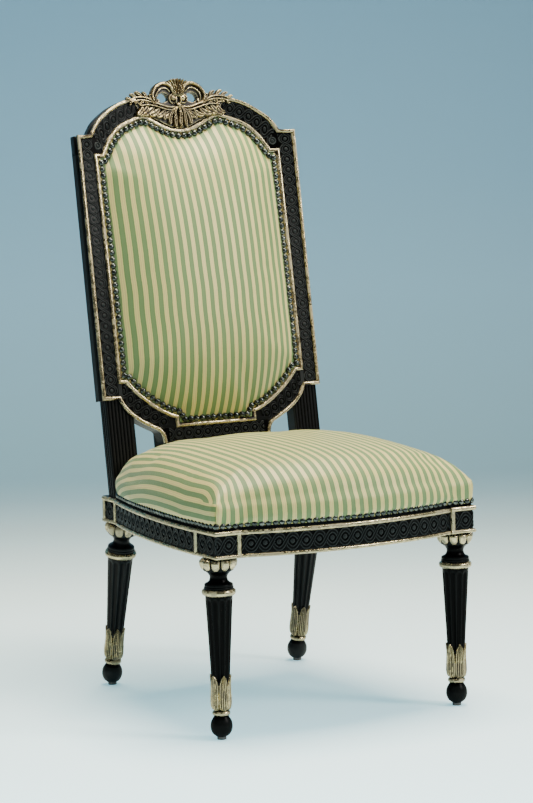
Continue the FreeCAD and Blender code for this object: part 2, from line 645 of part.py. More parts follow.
lean = FreeCAD.Rotation(V(-1, 0, 0), N["rake"])
dow = []
for side, sg in (("left", -1), ("right", 1)):
    up = body_of["rear_upright_" + side]
    o = back_point(0, 0, N["stile_top"])
    for who, sk in ((up, sketch(up, "crest_dowel_at_" + side, "XY_Plane", (0, o.y, o.z), lean)),
                    ([q for q in OUT if q.Label == "crest_rail"][0], None)):
        if sk is None:
            sk = sketch(who, "stile_dowel_at_" + side, "XY_Plane", (0, 0, N["stile_top"]), offx="Sizes.stile_top")
        for u, t in CROSS:
            circle(sk, sg * u, t, S("dowel_r"))
        pk = who.newObject("PartDesign::Pocket", "crest_dowel_hole_" + who.Name + side)
        pk.Profile = sk
        pk.Length = N["dowel_long"]
        pk.Midplane = True
        pk.setExpression("Length", "Sizes.dowel_long")
        sk.Visibility = False
        who.Tip = pk
        doc.recompute()
    low = [q for q in OUT if q.Label == "back_lower_rail"][0]
    o = back_point(0, 0, 0)
    turn_in = FreeCAD.Rotation(V(0, 0, 1), -N["rake"])
    for who, sk in ((up, sketch(up, "lower_dowel_at_" + side, "YZ_Plane", (o.y, o.z, sg * N["stile_in"]), turn_in)),
                    (low, sketch(low, "stile_side_dowel_at_" + side, "YZ_Plane", (0, 0, sg * N["stile_in"])))):
        for l, t in SIDE:
            circle(sk, t, l, S("dowel_r"))
        pk = who.newObject("PartDesign::Pocket", "lower_dowel_hole_" + who.Name + side)
        pk.Profile = sk
        pk.Length = N["dowel_long"]
        pk.Midplane = True
        pk.setExpression("Length", "Sizes.dowel_long")
        sk.Visibility = False
        who.Tip = pk
        doc.recompute()
    for u, t in CROSS:
        c = doc.addObject("Part::Cylinder", "crest_dowel_%s_%d" % (side, int(u)))
        c.setExpression("Radius", "Sizes.dowel_r")
        c.setExpression("Height", "Sizes.dowel_long")
        c.Placement = FreeCAD.Placement(back_point(sg * u, t, N["stile_top"] - half), lean)
        dow.append(c)
    for l, t in SIDE:
        c = doc.addObject("Part::Cylinder", "lower_dowel_%s_%d" % (side, int(l)))
        c.setExpression("Radius", "Sizes.dowel_r")
        c.setExpression("Height", "Sizes.dowel_long")
        c.Placement = FreeCAD.Placement(back_point(sg * N["stile_in"] - half, t, l), FreeCAD.Rotation(V(0, 1, 0), 90))
        dow.append(c)
g = doc.addObject("Part::MultiFuse", "back_dowels")
g.Label = "back_dowels"
g.Shapes = dow
chair_place(g)
OUT.append(g)
doc.recompute()

# ---------------------------------------------------------------- carved crest
b = new_body("crest_carving")
sk = sketch(b, "carving_plan", "XY_Plane", (0, 0, 690.0))
loop(sk, [(-140.0, plan_t(140, -8)), (140.0, plan_t(140, -8)), (140.0, plan_t(140, 18)), (-140.0, plan_t(140, 18))],
     {0: (0.0, S("crest_sag") - 8.0), 2: (0.0, S("crest_sag") + 18.0)})
pad(b, "carving_slab", sk, 125.0)
doc.recompute()
sk = sketch(b, "carving_line", "XZ_Plane")
loop(sk, [(-200.0, 650.0), (200.0, 650.0), (200.0, 850.0), (-200.0, 850.0)])
carve = [(0.0, 806.0), (14.0, 804.5), (22.0, 800.5), (34.0, 796.5), (48.0, 789.5), (57.0, 779.5), (64.0, 776.5), (76.0, 781.0), (90.0, 779.0), (104.0, 772.5), (111.5, 766.5),
         (97.0, 762.0), (92.0, 754.0), (90.0, 742.5), (70.0, 735.0), (42.0, 723.0), (20.0, 712.0), (0.0, 709.0)]
loop(sk, mirror_pts(carve))
pocket(b, "carving_cut", sk)
doc.recompute()
# two pierced openings
sk = sketch(b, "carving_holes", "XZ_Plane")
hole = [(18.0, 766.0), (23.0, 759.5), (34.0, 758.5), (43.0, 763.0), (44.5, 770.0), (38.0, 777.0), (27.0, 779.0), (19.5, 774.0)]
loop(sk, hole)
loop(sk, [(-x, y) for x, y in hole])
pocket(b, "carving_pierced", sk)
doc.recompute()
# where it lies over the rail only its relief in front of the face is left
sk = sketch(b, "carving_seat_plan", "XY_Plane", (0, 0, 600.0))
loop(sk, [(-160.0, plan_t(160, 0)), (160.0, plan_t(160, 0)), (160.0, plan_t(160, 40)), (-160.0, plan_t(160, 40))],
     {0: (0.0, S("crest_sag")), 2: (0.0, S("crest_sag") + 40.0)})
pocket(b, "carving_seat", sk, 142.0, rev=True)
doc.recompute()
for sg in (-1, 1):
    sk = sketch(b, "carving_side_%d" % (sg + 1), "XY_Plane", (0, 0, 600.0))
    loop(sk, [(sg * 72.0, plan_t(72, 0)), (sg * 160.0, plan_t(160, 0)), (sg * 160.0, plan_t(160, 40)), (sg * 72.0, plan_t(72, 40))],
         {0: (sg * 116.0, plan_t(116, 0)), 2: (sg * 116.0, plan_t(116, 40))})
    pocket(b, "carving_sided_%d" % (sg + 1), sk, 260.0, rev=True)
    doc.recompute()
back_place(b)
doc.recompute()


# ---------------------------------------------------------------- upholstery of the seat
def seat_outline(inset, lift=0.0):
    """Corners and bent sides of the seat in plan, drawn in by inset."""
    x1, y1 = corner(inset)
    y2 = 474.0 - lift
    x2 = side_x(y2, inset)
    ym = (y1 + y2) / 2
    xm = side_x(ym, inset)
    xa = DIE_IN * x1 / N["half_front"]
    return [(-x1, y1), (-xa, y1), (xa, y1), (x1, y1), (x2, y2), (-x2, y2)], {1: (0.0, front_y(0.0, inset)), 3: (xm, ym), 5: (-xm, ym)}


def seat_loft(body, tag, levels, cut=False):
    secs = []
    for i, (z, inset, lift) in enumerate(levels):
        sk = sketch(body, "%s_level_%d" % (tag, i), "XY_Plane", (0, 0, z))
        pts, arcs = seat_outline(inset, lift)
        loop(sk, pts, arcs)
        sk.Visibility = False
        secs.append(sk)
    lf = body.newObject("PartDesign::SubtractiveLoft" if cut else "PartDesign::AdditiveLoft", tag)
    lf.Profile = secs[0]
    lf.Sections = secs[1:]
    lf.Ruled = True
    return lf


SEAT_LEVELS = [(N["rail_top"] + N["web_t"] + N["hess_t"] + 0.2, 6.0, 4.0), (N["wall_top"], 6.0, 4.0), (446.0, 13.0, 11.0), (463.0, 31.0, 29.0), (478.0, 62.0, 60.0), (489.0, 104.0, 104.0), (496.4, 150.0, 150.0)]
b = new_body("seat_padding")
seat_loft(b, "seat_pad", SEAT_LEVELS)
doc.recompute()


def rear_tongue(body, tag, z0, z1, wide, y1):
    """The part of the seat that runs back between the posts over the rear rail."""
    sk = sketch(body, tag + "_plan", "XY_Plane", (0, 0, z0))
    loop(sk, [(-wide, 462.0), (wide, 462.0), (wide, y1), (-wide, y1)])
    return sk


sk = rear_tongue(b, "pad_tongue", SEAT_LEVELS[0][0], 0, 165.0, 520.0)
pad(b, "pad_rear", sk, 30.0)
chair_place(b)
doc.recompute()

b = new_body("seat_cover")
outer = [(381.0, 2.9, 0.4), (N["wall_top"], 3.6, 1.6), (447.5, 11.0, 9.0), (464.8, 29.0, 27.0), (480.0, 60.0, 58.0), (491.3, 102.0, 102.0), (498.6, 149.0, 149.0)]
inner = [(380.9, 4.3, 1.9), (N["wall_top"], 5.0, 3.0), (446.7, 12.4, 10.4), (463.8, 30.2, 28.2), (478.8, 61.2, 59.2), (490.0, 103.2, 103.2), (497.3, 150.2, 150.2)]
seat_loft(b, "seat_skin", outer)
doc.recompute()
sk = rear_tongue(b, "skin_tongue", 381.0, 0, 167.4, 525.6)
pad(b, "skin_rear", sk, 45.6)
doc.recompute()
seat_loft(b, "seat_skin_in", inner, cut=True)
doc.recompute()
sk = sketch(b, "skin_tongue_in", "XY_Plane", (0, 0, 380.9))
loop(sk, [(-166.0, 461.0), (166.0, 461.0), (166.0, 524.4), (-166.0, 524.4)])
pocket(b, "skin_rear_in", sk, 44.4, rev=True)
doc.recompute()
# round the posts the cover stops above the rails
sk = sketch(b, "skin_post_cut", "XY_Plane", (0, 0, 380.0))
loop(sk, [(-300.0, 468.0), (300.0, 468.0), (300.0, 540.0), (164.0, 540.0), (164.0, 524.2), (-164.0, 524.2), (-164.0, 540.0), (-300.0, 540.0)])
pocket(b, "skin_over_posts", sk, 12.3, rev=True)
chair_place(b)
doc.recompute()


def windows(sk, xs, ys):
    for x0, x1 in xs:
        for y0, y1 in ys:
            loop(sk, [(x0, y0), (x1, y0), (x1, y1), (x0, y1)])


b = new_body("seat_webbing")
sk = sketch(b, "web_plan", "XY_Plane", (0, 0, N["rail_top"]), offx="Sizes.rail_top")
pts, arcs = seat_outline(12.0, 4.0)
loop(sk, pts, arcs)
pad(b, "web_sheet", sk, S("web_t"))
doc.recompute()
sk = sketch(b, "web_tongue", "XY_Plane", (0, 0, N["rail_top"]), offx="Sizes.rail_top")
loop(sk, [(-160.0, 460.0), (160.0, 460.0), (160.0, 518.0), (-160.0, 518.0)])
pad(b, "web_rear", sk, S("web_t"))
doc.recompute()
sk = sketch(b, "web_gaps", "XY_Plane", (0, 0, N["rail_top"]))
windows(sk, [(-206, -152), (-97, -28), (28, 97), (152, 206)], [(40, 76), (126, 168), (218, 260), (310, 352), (402, 444)])
pocket(b, "web_open", sk)
chair_place(b)

b = new_body("seat_hessian")
sk = sketch(b, "hess_plan", "XY_Plane", (0, 0, N["rail_top"] + N["web_t"]), offx="Sizes.rail_top + Sizes.web_t")
pts, arcs = seat_outline(10.0, 4.0)
loop(sk, pts, arcs)
pad(b, "hess_sheet", sk, S("hess_t"))
doc.recompute()
sk = sketch(b, "hess_tongue", "XY_Plane", (0, 0, N["rail_top"] + N["web_t"]), offx="Sizes.rail_top + Sizes.web_t")
loop(sk, [(-162.0, 460.0), (162.0, 460.0), (162.0, 519.0), (-162.0, 519.0)])
pad(b, "hess_rear", sk, S("hess_t"))
chair_place(b)

b = new_body("seat_dust_cover")
sk = sketch(b, "dust_plan", "XY_Plane", (0, 0, N["rail_bot"] - 0.7))
loop(sk, [(-206.0, 6.0), (206.0, 6.0), (206.0, 72.0), (238.0, 72.0), (203.0, 458.0), (160.0, 458.0), (160.0, 516.0), (-160.0, 516.0), (-160.0, 458.0), (-203.0, 458.0), (-238.0, 72.0), (-206.0, 72.0)],
     {0: (0.0, -14.0)})
pad(b, "dust_sheet", sk, 0.6)
chair_place(b)
doc.recompute()


# ---------------------------------------------------------------- upholstery of the back
# opening of the frame, right-hand half from the top centre down to the bottom centre
OPEN = [(0.0, 700.5)] + list(reversed(CREST_LOW)) + [(195.5, 653.0), (195.5, 224.5)] + LOW_IN + [(0.0, 133.0)]


def shrink(half, d):
    """Moves an outline's points inwards by d, by the average normal of their two sides."""
    whole = [(-x, y) for x, y in reversed(half) if abs(x) > 1e-6]
    loop_pts = list(half) + whole
    n = len(loop_pts)
    out = []
    for i in range(len(half)):
        p0, p1, p2 = loop_pts[i - 1], loop_pts[i], loop_pts[(i + 1) % n]
        n1 = (p1[1] - p0[1], -(p1[0] - p0[0]))
        n2 = (p2[1] - p1[1], -(p2[0] - p1[0]))
        l1, l2 = math.hypot(*n1), math.hypot(*n2)
        nx, ny = n1[0] / l1 + n2[0] / l2, n1[1] / l1 + n2[1] / l2
        m = math.hypot(nx, ny)
        c = max(0.5, m / 2)
        out.append((p1[0] + nx / m * d / c if abs(p1[0]) > 1e-6 else 0.0, p1[1] + ny / m * d / c))
    return out


def back_slab(body, tag, secs, d):
    """A warped slab cut to the opening drawn in by d. secs: height, front middle, front sides, back middle, back sides."""
    sks = []
    for i, (l, fm, fs, bm, bs) in enumerate(secs):
        sk = sketch(body, "%s_at_%d" % (tag, i), "XY_Plane", (0, 0, l))
        loop(sk, [(-215.0, fs), (215.0, fs), (215.0, bs), (-215.0, bs)], {0: (0.0, fm), 2: (0.0, bm)})
        sk.Visibility = False
        sks.append(sk)
    lf = body.newObject("PartDesign::AdditiveLoft", tag)
    lf.Profile = sks[0]
    lf.Sections = sks[1:]
    lf.Ruled = False
    doc.recompute()
    sk = sketch(body, tag + "_line", "XZ_Plane")
    loop(sk, [(-400.0, 0.0), (400.0, 0.0), (400.0, 900.0), (-400.0, 900.0)])
    loop(sk, mirror_pts(shrink(OPEN, d)))
    pocket(body, tag + "_cut", sk)
    doc.recompute()
    return lf


b = new_body("back_padding")
back_slab(b, "back_pad", [(120.0, 1.0, 3.0, 12.0, 11.0), (430.0, -30.0, 2.0, 17.0, 12.0), (750.0, 27.0, 0.0, 48.0, 13.0)], 14.0)
back_place(b)
b = new_body("back_cover")
back_slab(b, "back_skin", [(120.0, -0.6, 1.4, 0.8, 2.8), (430.0, -31.6, 0.4, -30.2, 1.8), (750.0, 25.4, -1.6, 26.8, -0.2)], 1.5)
back_place(b)
b = new_body("back_hessian")
back_slab(b, "back_hess", [(120.0, 12.2, 11.2, 13.0, 12.0), (430.0, 17.2, 12.2, 18.0, 13.0), (750.0, 48.2, 13.2, 49.0, 14.0)], 0.2)
back_place(b)
b = new_body("back_webbing")
back_slab(b, "back_web", [(120.0, 13.2, 12.2, 14.8, 13.8), (430.0, 18.2, 13.2, 19.8, 14.8), (750.0, 49.2, 14.2, 50.8, 15.8)], 0.2)
sk = sketch(b, "back_web_gaps", "XZ_Plane")
windows(sk, [(-140, -92), (-38, 38), (92, 140)], [(232, 290), (342, 400), (452, 510), (562, 620)])
pocket(b, "back_web_open", sk)
back_place(b)
b = new_body("outside_back")
back_slab(b, "out_back", [(120.0, 30.6, 30.0, 32.1, 31.5), (430.0, 36.0, 30.0, 37.5, 31.5), (750.0, 62.0, 30.0, 63.5, 31.5)], 0.2)
back_place(b)
doc.recompute()


# ---------------------------------------------------------------- dome nails
def chord_walk(pts, step, count):
    """Points along a line, each the same straight distance from the one before."""
    out = [(pts[0][0], pts[0][1], pts[1][0] - pts[0][0], pts[1][1] - pts[0][1])]
    k, f = 0, 0.0
    for _ in range(count):
        px, py = out[-1][0], out[-1][1]
        while True:
            ax, ay = pts[k]
            bx, by = pts[k + 1]
            if math.hypot(bx - px, by - py) >= step:
                break
            k += 1
            f = 0.0
            if k >= len(pts) - 1:
                return out, False
        lo, hi = f, 1.0
        for _i in range(50):
            m = (lo + hi) / 2
            if math.hypot(ax + (bx - ax) * m - px, ay + (by - ay) * m - py) < step:
                lo = m
            else:
                hi = m
        f = (lo + hi) / 2
        out.append((ax + (bx - ax) * f, ay + (by - ay) * f, bx - ax, by - ay))
    return out, True


def dome(centre, normal, r, high):
    """A domed nail head lying on the plane through centre."""
    rs = (r * r + high * high) / (2 * high)
    s = Part.makeSphere(rs, V(0, 0, high - rs), V(0, 0, 1), -90, 90, 360)
    cut = Part.makeBox(4 * rs, 4 * rs, 4 * rs, V(-2 * rs, -2 * rs, -4 * rs))
    s = s.cut(cut)
    s.Placement = FreeCAD.Placement(centre, FreeCAD.Rotation(V(0, 0, 1), normal))
    return s


nail_r = N["nail_r"]


def arc_pts(a, m, c, n=48):
    e = Part.Arc(V(a[0], a[1], 0), V(m[0], m[1], 0), V(c[0], c[1], 0)).toShape()
    return [(p.x, p.y) for p in e.discretize(n)]


pts, arcs = seat_outline(2.9, 0.4)
front = arc_pts(pts[1], arcs[1], pts[2], 97)
half_way = front[48:] + arc_pts(pts[3], arcs[3], pts[4], 97)
run, _done = chord_walk(half_way, N["nail_pitch"], 200)
nails = []
for i, (x, y, tx, ty) in enumerate(run):
    if y > 464.0:
        continue
    for sg in ((1, -1) if i else (1,)):
        nails.append(dome(V(sg * x, y, 386.0), V(sg * ty, -tx, 0), nail_r, 4.2))
f = doc.addObject("Part::Feature", "seat_nails")
f.Shape = Part.makeCompound(nails)
chair_place(f)
OUT.append(f)

half_in = shrink(OPEN, 8.6)
bn = []
SEC = [(120.0, -0.6, 1.4), (430.0, -31.6, 0.4), (750.0, 25.4, -1.6)]


def skin_t(u, l):
    """Depth of the back cover's face near its edge."""
    if l <= 430.0:
        w = (l - 120.0) / 310.0
        a, c = SEC[0], SEC[1]
    else:
        w = (l - 430.0) / 320.0
        a, c = SEC[1], SEC[2]
    q = min(1.0, abs(u) / 215.0)
    fa = a[1] + (a[2] - a[1]) * q * q
    fc = c[1] + (c[2] - c[1]) * q * q
    return fa + (fc - fa) * w


skin = [o for o in OUT if o.Label == "back_cover"][0].Shape.copy()
skin.Placement = FreeCAD.Placement()
# the spacing that lets a nail fall on the middle of the bottom as well as the top
count = 0
for step_try in [N["nail_pitch"] + 0.002 * q for q in range(300)]:
    run, done = chord_walk(half_in, step_try, 400)
    if count == 0:
        count = len(run)
    if len(run) < count:
        break
    last_run = run
run = last_run
for i, (x, y, tx, ty) in enumerate(run):
    for sg in ((1, -1) if abs(x) > 2.0 else (1,)):
        u = sg * x if abs(x) > 2.0 else 0.0
        fronts = []
        for q in range(8):
            du, dl = nail_r * math.cos(q * math.pi / 4), nail_r * math.sin(q * math.pi / 4)
            probe = Part.LineSegment(V(u + du, -120, y + dl), V(u + du, 120, y + dl)).toShape()
            hit = probe.common(skin)
            if hit.Vertexes:
                fronts.append(min([v.Y for v in hit.Vertexes]))
        t = min(fronts) if fronts else skin_t(u, y)
        bn.append(dome(V(u, t, y), V(0, -1, 0), nail_r, 4.2))
f = doc.addObject("Part::Feature", "back_nails")
f.Shape = Part.makeCompound(bn)
back_place(f)
OUT.append(f)
doc.recompute()

# ---------------------------------------------------------------- checks and files
bad = []
for o in doc.Objects:
    if "Invalid" in o.State or "Error" in o.State:
        bad.append((o.Name, list(o.State)))
for o in OUT:
    sh = o.Shape
    if sh.isNull() or not sh.isValid():
        bad.append((o.Label, "null or not valid"))
    elif len(sh.Solids) == 0:
        bad.append((o.Label, "no solid"))
box = None
for o in OUT:
    bb = o.Shape.BoundBox
    box = bb if box is None else box.united(bb)
    print("%-26s solids %3d faces %4d vol %10.0f  x %7.1f %7.1f  y %7.1f %7.1f  z %7.1f %7.1f" % (
        o.Label, len(o.Shape.Solids), len(o.Shape.Faces), o.Shape.Volume, bb.XMin, bb.XMax, bb.YMin, bb.YMax, bb.ZMin, bb.ZMax))
print("ALL x %.2f %.2f y %.3f %.3f z %.3f %.2f" % (box.XMin, box.XMax, box.YMin, box.YMax, box.ZMin, box.ZMax))
if bad:
    for q in bad:
        print("BAD", q)
    raise SystemExit("some pieces did not build")
for o in OUT:
    o.Shape.exportStep(os.path.join("parts", o.Label + ".step"))
print("wrote", len(OUT), "files")
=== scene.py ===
import math
import bpy
import bmesh
import numpy as np
from mathutils import Vector, Matrix


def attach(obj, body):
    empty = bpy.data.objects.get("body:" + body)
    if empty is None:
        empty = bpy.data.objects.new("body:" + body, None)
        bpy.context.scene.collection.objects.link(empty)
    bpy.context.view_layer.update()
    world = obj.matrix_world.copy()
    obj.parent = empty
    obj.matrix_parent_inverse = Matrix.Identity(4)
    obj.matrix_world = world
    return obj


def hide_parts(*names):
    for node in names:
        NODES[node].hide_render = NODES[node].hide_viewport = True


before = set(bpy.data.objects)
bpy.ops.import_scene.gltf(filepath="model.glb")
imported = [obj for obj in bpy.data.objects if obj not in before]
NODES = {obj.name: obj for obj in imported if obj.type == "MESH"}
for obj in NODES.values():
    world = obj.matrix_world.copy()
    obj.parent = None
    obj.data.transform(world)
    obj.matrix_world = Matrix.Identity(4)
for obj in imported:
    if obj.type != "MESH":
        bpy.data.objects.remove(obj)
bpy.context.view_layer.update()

# ------------------------------------------------------------------ frame of the object
# Lengths below are millimetres in chair coordinates: x across, y back from the front corners, z up.
SHIFT = 313.78
RAKE = math.radians(9.5)
CR, SR = math.cos(RAKE), math.sin(RAKE)
BACK_Y, BACK_Z = 474.03, 377.4


def back(u, t, l):
    """A point of the raked back: u across, t behind its front plane, l up the slope."""
    u, t, l = np.broadcast_arrays(np.asarray(u, float), np.asarray(t, float), np.asarray(l, float))
    return np.stack([u, BACK_Y + l * SR + t * CR, BACK_Z + l * CR - t * SR], -1)


def circle3(p, q, r):
    ax, ay = q[0] - p[0], q[1] - p[1]
    bx, by = r[0] - p[0], r[1] - p[1]
    d = 2 * (ax * by - ay * bx)
    ux = (by * (ax * ax + ay * ay) - ay * (bx * bx + by * by)) / d
    uy = (ax * (bx * bx + by * by) - bx * (ax * ax + ay * ay)) / d
    return p[0] + ux, p[1] + uy, math.hypot(ux, uy)


DIE_IN = 219.3
DIE_D = 74.0
FC = circle3((-DIE_IN, 3.5), (0.0, -32.0), (DIE_IN, 3.5))
SC = circle3((270.0, 0.0), (271.6, 237.0), (235.2, 474.0))


def front_y(x, d=0.0):
    x = np.asarray(x, float)
    arc = FC[1] - np.sqrt(np.maximum((FC[2] - d) ** 2 - (x - FC[0]) ** 2, 1.0))
    return np.where(np.abs(x) > DIE_IN + 1e-6, d, arc)


def rail_y(x, d=0.0):
    """The bowed line of the front rail, carried on past its ends."""
    x = np.asarray(x, float)
    return FC[1] - np.sqrt(np.maximum((FC[2] - d) ** 2 - (x - FC[0]) ** 2, 1.0))


def side_x(y, d=0.0):
    y = np.asarray(y, float)
    return SC[0] + np.sqrt((SC[2] - d) ** 2 - (y - SC[1]) ** 2)


def corner(d):
    return float(side_x(d, d)), float(d)


# ------------------------------------------------------------------ small tools
def wob(x, seed, f=1.0, n=5):
    """Smooth irregular wave, about -1 to 1, the same every run."""
    x = np.asarray(x, float)
    r = np.random.RandomState(seed)
    out = np.zeros_like(x)
    for i in range(n):
        k = f * (0.6 + 1.1 * i + 0.5 * r.rand())
        out = out + np.sin(x * k + r.rand() * 6.283) / (1.0 + 0.55 * i)
    return out / 2.2


def smooth01(x):
    x = np.clip(x, 0.0, 1.0)
    return x * x * (3 - 2 * x)


def spline(pts, step=2.0, closed=False):
    """Even points along a Catmull-Rom curve through pts."""
    P = np.asarray(pts, float)
    n = len(P)
    out = []
    rng = range(n if closed else n - 1)
    for i in rng:
        p0 = P[(i - 1) % n] if (closed or i > 0) else 2 * P[0] - P[1]
        p1 = P[i]
        p2 = P[(i + 1) % n]
        p3 = P[(i + 2) % n] if (closed or i + 2 < n) else 2 * P[-1] - P[-2]
        m = max(2, int(np.linalg.norm(p2 - p1) / (step * 0.35)))
        t = np.linspace(0, 1, m, endpoint=False)[:, None]
        a, b, c = np.linalg.norm(p1 - p0) ** 0.5 + 1e-9, np.linalg.norm(p2 - p1) ** 0.5 + 1e-9, np.linalg.norm(p3 - p2) ** 0.5 + 1e-9
        m1 = (p1 - p0) / a - (p2 - p0) / (a + b) + (p2 - p1) / b
        m2 = (p2 - p1) / b - (p3 - p1) / (b + c) + (p3 - p2) / c
        m1, m2 = m1 * b, m2 * b
        out.append((2 * t ** 3 - 3 * t ** 2 + 1) * p1 + (t ** 3 - 2 * t ** 2 + t) * m1 + (-2 * t ** 3 + 3 * t ** 2) * p2 + (t ** 3 - t ** 2) * m2)
    if not closed:
        out.append(P[-1:])
    return resample(np.concatenate(out), step, closed)


def resample(P, step=None, closed=False, n=None):
    P = np.asarray(P, float)
    Q = np.concatenate([P, P[:1]]) if closed else P
    s = np.concatenate([[0], np.cumsum(np.linalg.norm(np.diff(Q, axis=0), axis=1))])
    if n is None:
        n = max(2, int(round(s[-1] / step)) + (0 if closed else 1))
    g = np.linspace(0, s[-1], n, endpoint=not closed)
    return np.stack([np.interp(g, s, Q[:, k]) for k in range(Q.shape[1])], -1)


def lengths(P):
    return np.concatenate([[0], np.cumsum(np.linalg.norm(np.diff(np.asarray(P, float), axis=0), axis=1))])


def offset2(P, d, closed=False):
    """Moves a plane line sideways by d (to the left of its run), with mitred corners."""
    P = np.asarray(P, float)
    n = len(P)
    out = np.zeros_like(P)
    for i in range(n):
        a = P[i] - P[i - 1] if (i > 0 or closed) else P[1] - P[0]
        b = P[(i + 1) % n] - P[i] if (i < n - 1 or closed) else P[-1] - P[-2]
        a = a / (np.linalg.norm(a) + 1e-12)
        b = b / (np.linalg.norm(b) + 1e-12)
        na, nb = np.array([-a[1], a[0]]), np.array([-b[1], b[0]])
        m = na + nb
        m = m / (np.linalg.norm(m) + 1e-12)
        c = max(0.35, float(m @ na))
        out[i] = P[i] + m * d / c
    return out


def gridf(n, m, wn=False, wm=False):
    I, J = np.meshgrid(np.arange(n if wn else n - 1), np.arange(m if wm else m - 1), indexing="ij")
    a = I * m + J
    b = ((I + 1) % n) * m + J
    c = ((I + 1) % n) * m + (J + 1) % m
    d = I * m + (J + 1) % m
    return np.stack([a, b, c, d], -1).reshape(-1, 4)


def relief(me, rounds, broad=60):
    """Stores on each point how far it stands over (or under) the evened surface, in mm, near by and more widely."""
    n = len(me.vertices)
    co = np.zeros(n * 3, np.float32)
    me.vertices.foreach_get("co", co)
    co = co.reshape(-1, 3).astype(float)
    e = np.zeros(len(me.edges) * 2, np.int32)
    me.edges.foreach_get("vertices", e)
    e = e.reshape(-1, 2)
    nr = np.zeros(n * 3, np.float32)
    me.vertex_normals.foreach_get("vector", nr)
    nr = nr.reshape(-1, 3)
    deg = np.maximum(np.bincount(e.ravel(), minlength=n), 1)[:, None]
    p = co.copy()
    for it in range(max(rounds, broad)):
        if it == rounds:
            near = np.einsum("ij,ij->i", co - p, nr) * 1000.0
        acc = np.stack([np.bincount(e[:, 0], weights=p[e[:, 1], k], minlength=n) + np.bincount(e[:, 1], weights=p[e[:, 0], k], minlength=n) for k in range(3)], -1)
        p = 0.35 * p + 0.65 * acc / deg
    wide = np.einsum("ij,ij->i", co - p, nr) * 1000.0
    for key, h in (("rel", near), ("relw", wide)):
        a = me.attributes.get(key) or me.attributes.new(key, "FLOAT", "POINT")
        a.data.foreach_set("value", h.astype(np.float32))


class Geo:
    """Collects shells of one piece: points in chair millimetres and faces."""

    def __init__(self):
        self.v, self.q, self.g, self.n = [], [], [], 0

    def add(self, verts, quads=None, gons=(), solid=True):
        v = np.asarray(verts, float).reshape(-1, 3)
        q = np.zeros((0, 4), int) if quads is None else np.asarray(quads, int).reshape(-1, 4)
        gons = [list(g) for g in gons]
        if solid:
            c = v.mean(0)
            w = v - c
            vol = 0.0
            if len(q):
                a, b, c2, d = w[q[:, 0]], w[q[:, 1]], w[q[:, 2]], w[q[:, 3]]
                vol += np.einsum("ij,ij->", a, np.cross(b, c2)) + np.einsum("ij,ij->", a, np.cross(c2, d))
            for g in gons:
                p = w[g]
                for k in range(1, len(g) - 1):
                    vol += float(p[0] @ np.cross(p[k], p[k + 1]))
            if vol < 0:
                q = q[:, ::-1]
                gons = [g[::-1] for g in gons]
        self.v.append(v)
        self.q.append(q + self.n)
        self.g += [[i + self.n for i in g] for g in gons]
        self.n += len(v)
        return self

    def loft(self, S, closed=False, cap=True):
        """S: stations x points of a closed section x 3."""
        S = np.asarray(S, float)
        n, m = S.shape[:2]
        gons = []
        if not closed and cap:
            gons = [list(range(m)), list(range((n - 1) * m, n * m))[::-1]]
        return self.add(S, gridf(n, m, closed, True), gons)

    def slab(self, front, backrow):
        """A relief: front is n x m x 3, backrow n x 2 x 3 are the back corners of each station."""
        F = np.asarray(front, float)
        B = np.asarray(backrow, float)
        n, m = F.shape[:2]
        S = np.concatenate([F, B[:, ::-1]], 1)
        return self.loft(S)

    def obj(self, name, mat, slot, replaces=(), angle=38.0):
        me = bpy.data.meshes.new(name)
        v = np.concatenate(self.v)
        v = v.copy()
        v[:, 1] -= SHIFT
        v *= 0.001
        q = np.concatenate(self.q) if self.q else np.zeros((0, 4), int)
        me.vertices.add(len(v))
        me.vertices.foreach_set("co", v.astype(np.float32).ravel())
        loops = np.concatenate([q.ravel(), np.array([i for g in self.g for i in g], int)]).astype(np.int32)
        tot = np.concatenate([np.full(len(q), 4), np.array([len(g) for g in self.g], int)]).astype(np.int32)
        start = np.concatenate([[0], np.cumsum(tot)[:-1]]).astype(np.int32)
        me.loops.add(len(loops))
        me.loops.foreach_set("vertex_index", loops)
        me.polygons.add(len(tot))
        me.polygons.foreach_set("loop_start", start)
        me.polygons.foreach_set("loop_total", tot)
        me.update(calc_edges=True)
        me.validate(verbose=False)
        me.polygons.foreach_set("use_smooth", np.ones(len(me.polygons), bool))
        me.set_sharp_from_angle(angle=math.radians(angle))
        relief(me, 8)
        o = bpy.data.objects.new(name, me)
        bpy.context.scene.collection.objects.link(o)
        me.materials.append(mat)
        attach(o, "root")
        if replaces:
            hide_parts(*replaces)
        return o


# ------------------------------------------------------------------ materials
def nodes_of(name):
    m = bpy.data.materials.new(name)
    m.use_nodes = True
    nt = m.node_tree
    for n in list(nt.nodes):
        nt.nodes.remove(n)
    out = nt.nodes.new("ShaderNodeOutputMaterial")
    bs = nt.nodes.new("ShaderNodeBsdfPrincipled")
    nt.links.new(bs.outputs[0], out.inputs[0])
    return m, nt, bs


def nd(nt, kind, **kw):
    n = nt.nodes.new("ShaderNode" + kind)
    for k, v in kw.items():
        if k.startswith("i_"):
            key = k[2:]
            key = int(key) if key.isdigit() else key.replace("_", " ")
            n.inputs[key].default_value = v
        else:
            setattr(n, k, v)
    return n


def coords(nt, scale=(1, 1, 1), rot=(0, 0, 0)):
    tc = nd(nt, "TexCoord")
    mp = nd(nt, "Mapping")
    mp.inputs["Scale"].default_value = scale
    mp.inputs["Rotation"].default_value = rot
    nt.links.new(tc.outputs["Object"], mp.inputs["Vector"])
    return mp.outputs[0]


